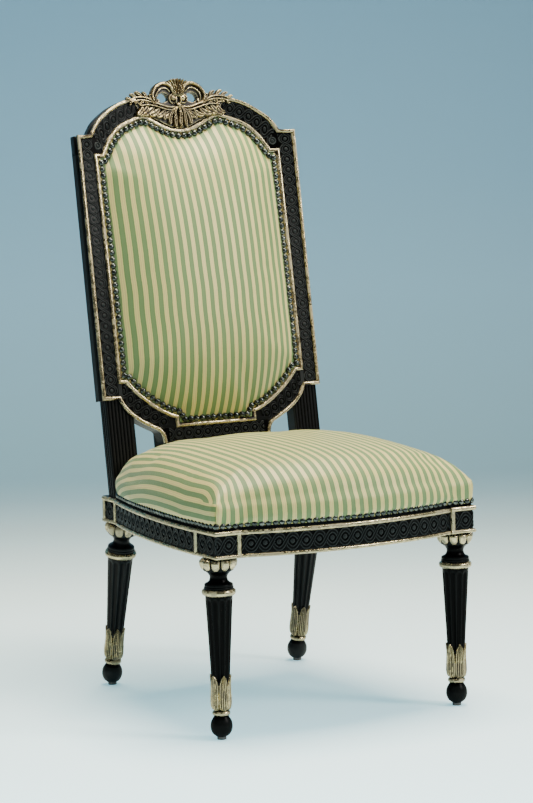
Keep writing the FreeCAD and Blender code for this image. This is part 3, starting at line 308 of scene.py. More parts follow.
def noise(nt, vec, scale, detail=4.0, rough=0.55, dist=0.0):
    n = nd(nt, "TexNoise")
    n.inputs["Scale"].default_value = scale
    n.inputs["Detail"].default_value = detail
    n.inputs["Roughness"].default_value = rough
    n.inputs["Distortion"].default_value = dist
    nt.links.new(vec, n.inputs["Vector"])
    return n.outputs["Fac"]


def ramp(nt, fac, stops, interp="LINEAR"):
    r = nd(nt, "ValToRGB")
    r.color_ramp.interpolation = interp
    e = r.color_ramp.elements
    while len(e) < len(stops):
        e.new(0.5)
    for k, (p, c) in enumerate(stops):
        e[k].position = p
        e[k].color = (*c, 1.0) if len(c) == 3 else c
    nt.links.new(fac, r.inputs[0])
    return r.outputs[0]


def mixc(nt, fac, a, b, kind="MIX"):
    m = nd(nt, "Mix", data_type="RGBA", blend_type=kind)
    for sock, val in ((m.inputs[0], fac), (m.inputs[6], a), (m.inputs[7], b)):
        if isinstance(val, bpy.types.NodeSocket):
            nt.links.new(val, sock)
        elif isinstance(val, tuple):
            sock.default_value = (*val, 1.0) if len(val) == 3 else val
        else:
            sock.default_value = val
    return m.outputs[2]


def mathn(nt, op, a, b=None, c=None, clamp=False):
    m = nd(nt, "Math", operation=op, use_clamp=clamp)
    for i, val in enumerate((a, b, c)):
        if val is None:
            continue
        if isinstance(val, bpy.types.NodeSocket):
            nt.links.new(val, m.inputs[i])
        else:
            m.inputs[i].default_value = val
    return m.outputs[0]


def bump(nt, height, strength, dist, prev=None):
    b = nd(nt, "Bump")
    b.inputs["Strength"].default_value = strength
    b.inputs["Distance"].default_value = dist
    nt.links.new(height, b.inputs["Height"])
    if prev is not None:
        nt.links.new(prev, b.inputs["Normal"])
    return b.outputs[0]


def attr(nt, name):
    a = nd(nt, "Attribute", attribute_type="GEOMETRY", attribute_name=name)
    return a.outputs["Fac"]


def mat_ebony(name, grain=(60, 60, 4), rough=0.30, tone=1.0, gleam=0.038, rub=0.05):
    """Black stained and polished wood, thin at the edges, with its grain just showing and a painted bluish-grey
    highlight on its ridges.
    """
    m, nt, bs = nodes_of(name)
    g = noise(nt, coords(nt, grain), 9.0, 6.0, 0.6, 0.3)
    big = noise(nt, coords(nt), 14.0, 3.0, 0.5)
    fine = noise(nt, coords(nt), 420.0, 3.0, 0.6)
    rel = attr(nt, "rel")
    edge = ramp(nt, mathn(nt, "MULTIPLY_ADD", rel, 0.5, 0.5), [(0.62, (0, 0, 0)), (0.85, (1, 1, 1))])
    wear = mathn(nt, "MULTIPLY", edge, ramp(nt, noise(nt, coords(nt), 90.0, 5.0, 0.7), [(0.50, (0, 0, 0)), (0.70, (1, 1, 1))]))
    k = tone
    base = ramp(nt, g, [(0.3, (0.0003 * k, 0.0003 * k, 0.0003 * k)), (0.55, (0.0009 * k, 0.0009 * k, 0.0009 * k)), (0.75, (0.0026 * k, 0.0023 * k, 0.0020 * k))])
    # rub sets two marks: the brown wear of the stain on the edges (this line) and the painted bluish-grey highlight on
    # the ridges (next line)
    base = mixc(nt, mathn(nt, "MULTIPLY", wear, rub), base, (0.045, 0.024, 0.012))
    # painted highlight: the raised ridges of the relief are lightened to bluish grey, standing in for the lamps' sheen
    # on the edges
    base = mixc(nt, mathn(nt, "MULTIPLY", ramp(nt, mathn(nt, "MULTIPLY_ADD", rel, 1.2, 0.5, clamp=True), [(0.53, (0, 0, 0)), (0.95, (1, 1, 1))]), rub * 2.4, clamp=True), base, (0.046, 0.054, 0.055))
    nt.links.new(base, bs.inputs["Base Color"])
    r = mathn(nt, "MULTIPLY_ADD", g, 0.16, rough - 0.08)
    r = mathn(nt, "MULTIPLY_ADD", big, 0.12, mathn(nt, "SUBTRACT", r, 0.06))
    nt.links.new(r, bs.inputs["Roughness"])
    b1 = bump(nt, g, 0.25, 0.0003)
    b2 = bump(nt, fine, 0.10, 0.0002, b1)
    nt.links.new(b2, bs.inputs["Normal"])
    bs.inputs["Specular IOR Level"].default_value = gleam
    bs.inputs["Coat Weight"].default_value = 0.004
    bs.inputs["Coat Roughness"].default_value = 0.12
    return m


# dark sets how far the painted shade in the hollows reaches
def mat_gilt(name, worn=0.5, dark=0.5):
    """Pale gold and silver leaf over brown bole, rubbed through in patches, with painted shade in the hollows and a
    painted highlight on the ridges.
    """
    m, nt, bs = nodes_of(name)
    rel = attr(nt, "rel")
    relw = attr(nt, "relw")
    # painted shade: masks of the hollows in the near relief (rel) and the wide relief (relw)
    hollow_shade = ramp(nt, mathn(nt, "MULTIPLY_ADD", rel, 1.8, 0.5, clamp=True), [(0.12, (1, 1, 1)), (0.47 + 0.04 * dark, (0, 0, 0))])
    wide_hollow_shade = ramp(nt, mathn(nt, "MULTIPLY_ADD", relw, 0.45, 0.5, clamp=True), [(0.12, (1, 1, 1)), (0.46 + 0.05 * dark, (0, 0, 0))])
    hollow_shade = mathn(nt, "MAXIMUM", hollow_shade, wide_hollow_shade)
    # painted highlight: mask of the raised ridges of the relief
    ridge_highlight = ramp(nt, mathn(nt, "MULTIPLY_ADD", rel, 0.9, 0.5, clamp=True), [(0.56, (0, 0, 0)), (0.92, (1, 1, 1))])
    n0 = noise(nt, coords(nt), 17.0, 3.0, 0.6, 0.5)
    n1 = noise(nt, coords(nt), 48.0, 4.0, 0.58, 0.4)
    n2 = noise(nt, coords(nt), 98.0, 5.0, 0.64, 0.6)
    n3 = noise(nt, coords(nt), 480.0, 3.0, 0.6)
    leaf = ramp(nt, n1, [(0.32, (0.045, 0.027, 0.009)), (0.44, (0.145, 0.097, 0.035)), (0.54, (0.335, 0.253, 0.106)), (0.66, (0.62, 0.515, 0.255))])
    rub = ramp(nt, mathn(nt, "ADD", mathn(nt, "MULTIPLY", n2, 0.50), mathn(nt, "ADD", mathn(nt, "MULTIPLY", n1, 0.35), mathn(nt, "MULTIPLY", n0, 0.30))), [(0.598 - 0.05 * worn, (0, 0, 0)), (0.645 - 0.05 * worn, (1, 1, 1))])
    bole = ramp(nt, n3, [(0.35, (0.012, 0.006, 0.003)), (0.65, (0.085, 0.043, 0.019))])
    col = mixc(nt, mathn(nt, "MULTIPLY", rub, 0.93), leaf, bole)
    spot = ramp(nt, noise(nt, coords(nt), 150.0, 2.0, 0.5), [(0.65, (0, 0, 0)), (0.70, (1, 1, 1))])
    col = mixc(nt, mathn(nt, "MULTIPLY", spot, 0.8), col, (0.020, 0.012, 0.008))
    # painted shade: the hollows are turned near black; below they are also made non-metallic and rougher
    col = mixc(nt, mathn(nt, "MULTIPLY", hollow_shade, 0.97, clamp=True), col, (0.007, 0.0045, 0.003))
    # painted highlight: ridges lightened to pale gold
    col = mixc(nt, mathn(nt, "MULTIPLY", ridge_highlight, 0.46), col, (0.86, 0.75, 0.47))
    nt.links.new(col, bs.inputs["Base Color"])
    notmet = mathn(nt, "MAXIMUM", mathn(nt, "MULTIPLY", rub, 0.9), mathn(nt, "MAXIMUM", spot, hollow_shade))
    met = mathn(nt, "SUBTRACT", 0.92, mathn(nt, "MULTIPLY", notmet, 0.90), clamp=True)
    nt.links.new(met, bs.inputs["Metallic"])
    r = mathn(nt, "MULTIPLY_ADD", n2, 0.28, 0.09)
    r = mathn(nt, "ADD", r, mathn(nt, "MULTIPLY", notmet, 0.20))
    nt.links.new(r, bs.inputs["Roughness"])
    b1 = bump(nt, n2, 0.35, 0.0005)
    b2 = bump(nt, n3, 0.25, 0.0002, b1)
    nt.links.new(b2, bs.inputs["Normal"])
    bs.inputs["Specular IOR Level"].default_value = 0.3
    return m


STRIPE = 17.5


def mat_stripe(name, up="fab_u", along="fab_v", sheen=0.25):
    """Satin stripe: sage and cream of equal width, a fine rose line in the cream, close twill weave."""
    m, nt, bs = nodes_of(name)
    u = attr(nt, up)
    v = attr(nt, along)
    # wander of the stripe edge by a fraction of a millimetre
    wan = mathn(nt, "MULTIPLY_ADD", noise(nt, coords(nt), 160.0, 3.0, 0.6), 0.9, -0.45)
    uu = mathn(nt, "ADD", u, wan)
    ph = mathn(nt, "FRACT", mathn(nt, "DIVIDE", uu, STRIPE))
    # distance from the middle of the green stripe, in repeats
    tri = mathn(nt, "ABSOLUTE", mathn(nt, "SUBTRACT", ph, 0.5))
    green = (0.115, 0.198, 0.068)
    green2 = (0.140, 0.228, 0.084)
    cream = (0.665, 0.612, 0.208)
    cream2 = (0.625, 0.582, 0.194)
    rose = (0.590, 0.430, 0.190)
    edge = (0.335, 0.370, 0.140)
    body = ramp(nt, tri, [(0.0, green2), (0.165, green2), (0.205, green), (0.243, green), (0.262, edge), (0.285, cream), (0.345, cream2), (0.382, rose), (0.43, rose), (0.462, cream2), (0.5, cream)])
    # woven thread colour: lighter and darker picks
    th = nd(nt, "CombineXYZ")
    nt.links.new(mathn(nt, "MULTIPLY", u, 1.9), th.inputs[0])
    nt.links.new(mathn(nt, "MULTIPLY", v, 0.35), th.inputs[1])
    slub = nd(nt, "TexNoise")
    slub.inputs["Scale"].default_value = 1.0
    slub.inputs["Detail"].default_value = 3.0
    nt.links.new(th.outputs[0], slub.inputs["Vector"])
    th2 = nd(nt, "CombineXYZ")
    nt.links.new(mathn(nt, "MULTIPLY", u, 0.22), th2.inputs[0])
    nt.links.new(mathn(nt, "MULTIPLY", v, 2.3), th2.inputs[1])
    slub2 = nd(nt, "TexNoise")
    slub2.inputs["Scale"].default_value = 1.0
    slub2.inputs["Detail"].default_value = 3.0
    nt.links.new(th2.outputs[0], slub2.inputs["Vector"])
    lum = mathn(nt, "MULTIPLY_ADD", slub.outputs["Fac"], 0.16, 0.92)
    lum = mathn(nt, "MULTIPLY", lum, mathn(nt, "MULTIPLY_ADD", slub2.outputs["Fac"], 0.14, 0.93))
    big = noise(nt, coords(nt), 9.0, 3.0, 0.5)
    lum = mathn(nt, "MULTIPLY", lum, mathn(nt, "MULTIPLY_ADD", big, 0.10, 0.95))
    lc = nd(nt, "CombineColor")
    for k in range(3):
        nt.links.new(lum, lc.inputs[k])
    col = mixc(nt, 1.0, body, lc.outputs[0], "MULTIPLY")
    nt.links.new(col, bs.inputs["Base Color"])
    # the green ground is ribbed and duller, the cream is satin
    gmask = ramp(nt, tri, [(0.245, (1, 1, 1)), (0.265, (0, 0, 0))])
    r = mathn(nt, "MULTIPLY_ADD", gmask, 0.16, 0.40)
    nt.links.new(r, bs.inputs["Roughness"])
    # weave: picks across the stripe, ends along it
    wv1 = mathn(nt, "SINE", mathn(nt, "MULTIPLY", v, 2 * math.pi / 0.62))
    wv2 = mathn(nt, "SINE", mathn(nt, "MULTIPLY", u, 2 * math.pi / 0.44))
    tw = mathn(nt, "SINE", mathn(nt, "ADD", mathn(nt, "MULTIPLY", v, 2 * math.pi / 0.9), mathn(nt, "MULTIPLY", u, 2 * math.pi / 0.9)))
    rib = mathn(nt, "ADD", mathn(nt, "MULTIPLY", wv1, gmask), mathn(nt, "MULTIPLY", tw, 0.5))
    hh = mathn(nt, "ADD", rib, mathn(nt, "MULTIPLY", wv2, 0.35))
    b0 = bump(nt, gmask, 0.5, 0.00012)
    b1 = bump(nt, hh, 0.35, 0.00006, b0)
    b2 = bump(nt, slub.outputs["Fac"], 0.25, 0.00025, b1)
    nt.links.new(b2, bs.inputs["Normal"])
    bs.inputs["Sheen Weight"].default_value = sheen
    bs.inputs["Sheen Roughness"].default_value = 0.35
    bs.inputs["Specular IOR Level"].default_value = 0.42
    return m


def mat_nail(name):
    """Blackened dome nails, rubbed bright here and there."""
    m, nt, bs = nodes_of(name)
    n1 = noise(nt, coords(nt), 120.0, 4.0, 0.6)
    n2 = noise(nt, coords(nt), 900.0, 3.0, 0.6)
    c = ramp(nt, n1, [(0.35, (0.022, 0.026, 0.025)), (0.55, (0.085, 0.098, 0.090)), (0.72, (0.22, 0.225, 0.19))])
    nt.links.new(c, bs.inputs["Base Color"])
    bs.inputs["Metallic"].default_value = 0.9
    nt.links.new(mathn(nt, "MULTIPLY_ADD", n1, 0.22, 0.10), bs.inputs["Roughness"])
    nt.links.new(bump(nt, n2, 0.3, 0.00012), bs.inputs["Normal"])
    return m


def mat_simple(name, stops, scale, grain=(1, 1, 1), rough=(0.5, 0.2), metal=0.0, bumpd=0.0004, strength=0.3):
    m, nt, bs = nodes_of(name)
    g = noise(nt, coords(nt, grain), scale, 5.0, 0.6, 0.2)
    nt.links.new(ramp(nt, g, stops), bs.inputs["Base Color"])
    nt.links.new(mathn(nt, "MULTIPLY_ADD", g, rough[1], rough[0]), bs.inputs["Roughness"])
    bs.inputs["Metallic"].default_value = metal
    f = noise(nt, coords(nt, grain), scale * 6.0, 3.0, 0.6)
    nt.links.new(bump(nt, f, strength, bumpd, bump(nt, g, strength, bumpd)), bs.inputs["Normal"])
    return m


def mat_weave(name, a, b, pitch_mm, rough=0.85):
    """Plain open weave in two tones."""
    m, nt, bs = nodes_of(name)
    k = 2 * math.pi / (pitch_mm * 0.001)
    sep = nd(nt, "SeparateXYZ")
    nt.links.new(coords(nt), sep.inputs[0])
    sx = mathn(nt, "SINE", mathn(nt, "MULTIPLY", sep.outputs[0], k))
    sy = mathn(nt, "SINE", mathn(nt, "MULTIPLY", mathn(nt, "ADD", sep.outputs[1], sep.outputs[2]), k))
    w = mathn(nt, "MULTIPLY", sx, sy)
    n1 = noise(nt, coords(nt), 40.0, 5.0, 0.7)
    f = mathn(nt, "ADD", mathn(nt, "MULTIPLY_ADD", w, 0.22, 0.25), mathn(nt, "MULTIPLY", n1, 0.5))
    nt.links.new(ramp(nt, f, [(0.3, a), (0.7, b)]), bs.inputs["Base Color"])
    bs.inputs["Roughness"].default_value = rough
    nt.links.new(bump(nt, w, 0.5, 0.0003), bs.inputs["Normal"])
    return m


M_WOOD_Z = mat_ebony("ebonised_upright", (70, 70, 5))
M_WOOD_X = mat_ebony("ebonised_across", (5, 70, 70))
M_WOOD_Y = mat_ebony("ebonised_along", (70, 5, 70))
# the carved bands get more of the painted ridge highlight (rub 0.26)
M_CARVE = mat_ebony("ebonised_carved", (40, 40, 40), 0.30, 1.0, 0.055, 0.26)
# lighter copy of the ebony for the rear uprights: its raised tone is painted sheen, its higher gleam is real gloss, and
# its rub raises the painted ridge highlight
M_POST = mat_ebony("ebonised_post", (70, 70, 5), 0.34, 1.6, 0.12, 0.12)
M_GILT = mat_gilt("leaf_gilding", 0.45, 0.55)
M_GILT2 = mat_gilt("leaf_gilding_carved", 0.30, 0.9)
M_FAB = mat_stripe("stripe_satin")
M_NAIL = mat_nail("dark_dome_nail")
M_INNER = mat_simple("beech_inner", [(0.3, (0.33, 0.20, 0.11)), (0.7, (0.52, 0.36, 0.21))], 8.0, (8, 60, 60), (0.5, 0.2))
M_GLIDE = mat_simple("glide_steel", [(0.3, (0.10, 0.10, 0.10)), (0.7, (0.22, 0.21, 0.20))], 120.0, rough=(0.35, 0.25), metal=0.9)
M_SCREW = mat_simple("screw_steel_dull", [(0.3, (0.30, 0.29, 0.27)), (0.7, (0.50, 0.48, 0.44))], 200.0, rough=(0.3, 0.25), metal=1.0)
M_HAIR = mat_simple("curled_hair_pad", [(0.3, (0.10, 0.07, 0.05)), (0.7, (0.28, 0.21, 0.15))], 300.0, rough=(0.8, 0.15), bumpd=0.002, strength=0.7)
M_JUTE = mat_weave("jute_web", (0.24, 0.17, 0.09), (0.50, 0.38, 0.23), 2.2)
M_BLACKCLOTH = mat_weave("bottoming_cloth", (0.012, 0.012, 0.013), (0.035, 0.034, 0.034), 0.9)


# ------------------------------------------------------------------ guilloche relief
def guilloche(S, Wd, p, hw, ring, phase=0.0):
    """Height in mm over the ground of a band: a running ribbon that loops round bosses. S along, Wd across."""
    k = hw / 17.2
    wr = 8.4 * k
    A = hw - wr / 2 - 0.4
    tau = (S - phase) / p
    fr = tau - np.floor(tau)
    up = -A * np.cos(math.pi * fr)
    g = A * math.pi / p * np.sin(math.pi * fr)
    n = np.sqrt(1 + g * g)
    dr = np.abs(Wd - up) / n
    df = np.abs(Wd + up) / n

    def rib(d):
        x = np.clip(d / (wr / 2), 0, 1)
        h = (1 - x ** 5) ** 0.6
        return h - 0.22 * (1 - np.clip(x / 0.62, 0, 1) ** 2)
    H = 2.3 * k ** 0.5
    hr = H * rib(dr) * (dr < wr / 2)
    hf = 0.86 * H * rib(df) * (df < wr / 2)
    near = smooth01((dr - wr / 2 - 0.15) / (0.9 * k))
    h = np.maximum(hr, hf * near)
    c = (tau - np.round(tau)) * p
    r = np.hypot(c, Wd)
    rb = ring * 0.64
    boss = 2.5 * k ** 0.5 * np.sqrt(np.clip(1 - (r / rb) ** 2, 0, 1)) ** 0.8 + 0.5 * np.exp(-(r / 1.0) ** 2)
    ring_out = smooth01((r - ring) / 0.8)
    h = np.where(r < ring + 0.8, h * ring_out, h)
    h = np.where(r < rb, boss, h)
    h = h - 0.5 * np.exp(-((r - (rb + ring) / 2) / (0.22 * ring)) ** 2)
    return h


def bead_profile(w, high, n=9, power=2.6):
    """Rounded fillet: offsets across 0..w with heights."""
    x = np.linspace(-1, 1, n)
    return (x * 0.5 + 0.5) * w, high * (1 - np.abs(x) ** power) ** (1 / 2.2)


# ------------------------------------------------------------------ surfaces of the back's front
def dip(u, l):
    """How far the frame's front lies behind the flat plane: flat at the bottom, hollow across the top."""
    u = np.asarray(u, float)
    l = np.asarray(l, float)
    s = np.clip((l - 200.0) / 500.0, 0, 1) ** 2.1
    return np.clip(32.0 * (1 - (u / 236.0) ** 2), -1.0, 40) * s


def pbk(P, t):
    """Points (u, l) of the back with depth t behind the dished front."""
    P = np.asarray(P, float)
    return back(P[..., 0], dip(P[..., 0], P[..., 1]) + t, P[..., 1])


def strip_back(geo, O, I, prof, closed=False):
    """A solid along the back between two lines O and I. prof: closed list of (part of the width, mm from O or from I, depth)."""
    O, I = np.asarray(O, float), np.asarray(I, float)
    secs = []
    w = np.linalg.norm(I - O, axis=1)
    d = (I - O) / w[:, None]
    for f, c, t in prof:
        m = f * w + c
        secs.append(pbk(O + d * m[:, None], t))
    return geo.loft(np.stack(secs, 1), closed)


def bead_back(geo, path, w, high, base=1.3, seed=1, side=1.0, closed=False):
    """A gilt bead along a line (u, l) of the back; it lies to the left of the run for side = 1."""
    path = np.asarray(path, float)
    s = lengths(path)
    xs, hs = bead_profile(w, high)
    rows = []
    for k, (x, h) in enumerate(zip(xs, hs)):
        q = offset2(path, side * x, closed)
        irr = 0.16 * wob(s, seed + k // 3, 0.35) + 0.10 * wob(s, seed + 31 + k, 1.1)
        hh = h + (irr if 0 < k < len(xs) - 1 else 0.0)
        rows.append(pbk(q, base - hh))
    q0, q1 = offset2(path, side * w, closed), offset2(path, 0.0, closed)
    rows.append(pbk(q0, base + 2.2))
    rows.append(pbk(q1, base + 2.2))
    return geo.loft(np.stack(rows, 1), closed)


def mirror_u(P):
    P = np.asarray(P, float).copy()
    P[..., 0] *= -1
    return P


# ------------------------------------------------------------------ turned legs
TURN = [
    (6.5, 4.9), (10.5, 6.3), (14.8, 9.6), (17.6, 13.8), (19.3, 18.8), (19.9, 24.0), (19.5, 29.0), (18.2, 33.4), (15.8, 37.8), (13.4, 41.8), (12.4, 44.0),
    (12.4, 51.8), (13.0, 53.4), (14.2, 55.4), (15.4, 58.2), (15.6, 64.0), (15.0, 76.0), (14.6, 96.0), (16.4, 112.0), (16.9, 118.0), (24.4, 259.3), (26.2, 260.4),
    (27.2, 262.0), (27.4, 268.0), (26.4, 270.2), (25.4, 271.2), (26.0, 272.2), (26.4, 273.6), (26.0, 275.2), (25.0, 276.0), (25.4, 276.9), (25.6, 278.4), (25.0, 280.0), (23.2, 281.2),
    (20.2, 282.2), (17.8, 284.6), (16.2, 287.6), (15.4, 291.0), (16.0, 294.6), (18.2, 298.4), (21.6, 301.6), (25.0, 303.8),
    (26.6, 304.6), (28.0, 308.0), (28.6, 312.0), (28.8, 316.0), (28.4, 320.0), (27.4, 323.0), (26.6, 325.0), (25.4, 327.3),
]


def turned_wood(geo, place, top, cut=False):
    """The black turned body with its sunk flutes."""
    k = 1.0 / math.cos(math.radians(11.9)) if cut else 1.0
    prof = [(r, z) for r, z in TURN]
    zz, rr = [], []
    for (r0, z0), (r1, z1) in zip(prof[:-1], prof[1:]):
        m = max(1, int(abs(z1 - z0) / 2.6))
        for q in range(m):
            zz.append(z0 + (z1 - z0) * q / m)
            rr.append(r0 + (r1 - r0) * q / m)
    zz.append(prof[-1][1])
    rr.append(prof[-1][0])
    zz.append(max(top, prof[-1][1] + 0.5))
    rr.append(prof[-1][0])
    zz, rr = np.array(zz), np.array(rr)
    n = 12 * 14
    th = np.arange(n) / n * 2 * math.pi
    ph = (th / (2 * math.pi) * 12) % 1.0
    x = np.abs(ph - 0.5) * 2            # 0 in the middle of a flute, 1 on the arris
    fl = np.clip(1 - (x / 0.80) ** 2, 0, 1) ** 0.75
    R = np.repeat(rr[:, None], n, 1)
    dep = 2.7 * fl[None, :]
    # flutes stop in round ends
    zc = zz[:, None]
    end_hi, end_lo = 254.0, 104.0
    win = np.clip((end_hi - zc) / 5.0 + (1 - x[None, :]) * 0.0, 0, 1) ** 0.5 * np.clip((zc - end_lo) / 4.0, 0, 1)
    shape = np.clip(1 - ((np.clip(zc - (end_hi - 6), 0, 6) / 6.0) ** 2 + (x[None, :] / 0.80) ** 2), 0, 1)
    dep = np.where(zc > end_hi - 6, 2.7 * shape ** 0.75, dep) * (zc < end_hi) * np.clip((zc - end_lo) / 4.0, 0, 1)
    R = R - dep
    P = np.stack([R * np.cos(th)[None, :], R * np.sin(th)[None, :], np.repeat((zz * k)[:, None], n, 1)], -1)
    P = place(P)
    if cut:
        P[0, :, 2] = np.maximum(P[0, :, 2], 4.9)
        P[..., 2] = np.maximum(P[..., 2], 4.9)
    geo.add(P, gridf(len(zz), n, False, True), [list(range(n))[::-1], list(range((len(zz) - 1) * n, len(zz) * n))])


def ring_solid(geo, place, k, prof, n=96, seed=3, amp=0.18):
    """A gilt ring from a closed section of (r, z)."""
    th = np.arange(n) / n * 2 * math.pi
    P = []
    for j, (r, z) in enumerate(prof):
        rr = r + amp * wob(th * 7, seed + j) * (1 if j < len(prof) - 2 else 0)
        P.append(np.stack([rr * np.cos(th), rr * np.sin(th), np.full(n, z * k)], -1))
    P = place(np.stack(P, 1))
    geo.loft(P, closed=True)


def gadroons(geo, place, k, seed):
    """Ten rounded lobes round the collar, widest at two thirds of their height."""
    for i in range(10):
        a0 = i / 10 * 2 * math.pi + 0.28
        nz, nw = 17, 13
        v = np.linspace(0, 1, nz)
        z = 303.4 + v * 22.6
        # outline of the lobe: narrow at its foot, full above
        half = np.interp(v, [0, 0.05, 0.14, 0.30, 0.60, 0.84, 0.94, 1.0], [0.30, 0.56, 0.74, 0.90, 1.0, 0.98, 0.84, 0.50])
        width = 9.0 * half
        rb = np.interp(v, [0, 0.15, 0.4, 0.7, 0.9, 1.0], [21.5, 23.4, 26.0, 27.6, 27.6, 25.6])
        high = 7.2 * np.interp(v, [0, 0.06, 0.16, 0.35, 0.72, 0.88, 0.96, 1.0], [0.15, 0.5, 0.82, 1.0, 1.0, 0.82, 0.45, 0.1]) * (0.95 + 0.05 * wob(v * 5, seed + i))
        rows = []
        for a in range(nw):
            x = -1 + 2 * a / (nw - 1)
            h = high * (1 - abs(x) ** 2.1) ** 0.62
            ang = a0 + (x * width) / (rb + 3.0)
            rows.append(np.stack([(rb + h) * np.cos(ang), (rb + h) * np.sin(ang), z * k], -1))
        inner = []
        for x in (1, -1):
            ang = a0 + (x * width * 0.9) / (rb + 3.0)
            inner.append(np.stack([(rb - 4.0) * np.cos(ang), (rb - 4.0) * np.sin(ang), z * k], -1))
        S = np.stack(rows + inner, 1)
        geo.loft(place(S))


def sabot(geo, place, k, seed):
    """Upright leaves round the foot of the taper: raised rims that meet in the tip, ribs between, open gaps from leaf to leaf."""
    for ring in (0, 1):
        for i in range(6):
            a0 = (i + (0.0 if ring else 0.5)) / 6 * 2 * math.pi + 0.349
            nz, nw = 41, 25
            v = np.linspace(0, 1, nz)
            z0, z1 = (54.0, 117.2) if ring else (55.0, 99.0)
            z = z0 + v * (z1 - z0)
            if ring:
                half = 8.5 * np.interp(v, [0, 0.05, 0.20, 0.50, 0.70, 0.82, 0.90, 0.96, 1.0], [0.62, 0.84, 0.97, 0.96, 0.86, 0.70, 0.50, 0.28, 0.04])
                rb = np.interp(v, [0, 0.06, 0.18, 0.34, 0.55, 0.75, 0.90, 1.0], [13.4, 15.6, 16.9, 16.8, 16.0, 15.9, 16.8, 18.2])
                th_ = 1.6
            else:
                half = 5.4 * np.interp(v, [0, 0.2, 0.6, 0.85, 0.96, 1.0], [0.8, 1.0, 0.95, 0.6, 0.3, 0.05])
                rb = np.interp(v, [0, 0.1, 0.5, 1.0], [13.0, 15.0, 15.2, 15.6])
                th_ = 0.9
            rows = []
            for a in range(nw):
                x = -1 + 2 * a / (nw - 1)
                body = (1 - abs(x) ** 4.0) ** 0.5 * th_
                fade = np.clip((1 - v) * 7, 0, 1)
                rim = 1.15 * math.exp(-((abs(x) - 0.80) / 0.13) ** 2)
                rib = 1.20 * math.exp(-(x / 0.12) ** 2) + 0.75 * math.exp(-((abs(x) - 0.40) / 0.10) ** 2) - 0.9 * math.exp(-((abs(x) - 0.20) / 0.09) ** 2) - 1.0 * math.exp(-((abs(x) - 0.60) / 0.09) ** 2)
                h = body + rim * np.clip(v * 6 + 0.4, 0, 1) * np.clip((1 - v) * 14, 0, 1) + rib * fade
                ang = a0 + (x * half) / 16.2
                rows.append(np.stack([(rb + h) * np.cos(ang), (rb + h) * np.sin(ang), z * k], -1))
            inner = []
            for x in (1, -1):
                ang = a0 + (x * half * 0.96) / 16.2
                inner.append(np.stack([(rb - 2.6) * np.cos(ang), (rb - 2.6) * np.sin(ang), z * k], -1))
            geo.loft(place(np.stack(rows + inner, 1)))


def leg_place(x, y, rake_deg):
    a = math.radians(rake_deg)

    def place(P):
        P = np.asarray(P, float)
        X, Y, Z = P[..., 0], P[..., 1], P[..., 2]
        # the axis leans back towards the foot
        y2 = y + Y * math.cos(a) - Z * math.sin(a)
        z2 = Y * math.sin(a) + Z * math.cos(a)
        return np.stack([x + X, y2, z2], -1)
    return place


RINGS = [
    [(12.0, 44.2), (14.6, 44.5), (16.0, 46.0), (16.5, 48.0), (16.0, 50.0), (14.6, 51.6), (12.0, 51.9), (10.5, 51.0), (10.5, 45.0)],
    [(24.6, 259.8), (27.2, 260.2), (29.5, 261.8), (30.4, 264.8), (29.9, 268.2), (28.4, 270.2), (26.0, 270.8), (24.0, 269.8), (24.0, 260.8)],
]


def build_leg(wood, gilt, x, y, rake, top, seed):
    place = leg_place(x, y, rake)
    k = 1.0 / math.cos(math.radians(rake))
    turned_wood(wood, place, top, rake > 0)
    for j, prof in enumerate(RINGS):
        ring_solid(gilt, place, k, prof, seed=seed + 7 * j)
    gadroons(gilt, place, k, seed)
    sabot(gilt, place, k, seed + 3)


# ------------------------------------------------------------------ rails and dies
BOT, BEAD_LO, BEAD_HI, TOPB, TOP = 327.3, 334.4, 368.8, 377.4, 392.0
ZM = (BEAD_LO + BEAD_HI) / 2
HW = (BEAD_HI - BEAD_LO) / 2 - 0.2


def strip_map(geo, fn, stations, prof):
    """fn(station, d) gives the plan point drawn in by d; prof is a closed list of (d, z)."""
    rows = []
    for d, z in prof:
        xy = fn(stations, d)
        rows.append(np.concatenate([xy, np.full((len(stations), 1), z)], 1))
    geo.loft(np.stack(rows, 1))


def fn_front(xs, d):
    return np.stack([xs, rail_y(xs, d)], -1)


def fn_flat(xs, d):
    return np.stack([xs, np.full(len(xs), float(d))], -1)


def fn_side(sg):
    def fn(ys, d):
        return np.stack([sg * side_x(ys, d), ys], -1)
    return fn


def fn_block(sg):
    def fn(ys, d):
        return np.stack([sg * np.full(len(ys), 235.2 - d), ys], -1)
    return fn


def bead_map(geo, fn, st, z0, z1, high, seed, base=1.2, drop=0.0):
    s = np.asarray(st, float)
    xs, hs = bead_profile(z1 - z0, high)
    rows = []
    for k, (x, h) in enumerate(zip(xs, hs)):
        irr = 0.15 * wob(s, seed + k // 3, 0.3) + 0.10 * wob(s, seed + 17 + k, 1.0)
        hh = h + (irr if 0 < k < len(xs) - 1 else 0.0)
        P = np.stack([fn(s, 0.0), fn(s, 1.0)], 0)
        nrm = P[0] - P[1]
        xy = P[0] - nrm * (base - np.broadcast_to(hh, s.shape))[:, None]
        rows.append(np.concatenate([xy, np.full((len(s), 1), z0 + x - drop)], 1))
    for z in (z1, z0):
        rows.append(np.concatenate([fn(s, base + 2.4), np.full((len(s), 1), z - drop)], 1))
    geo.loft(np.stack(rows, 1))


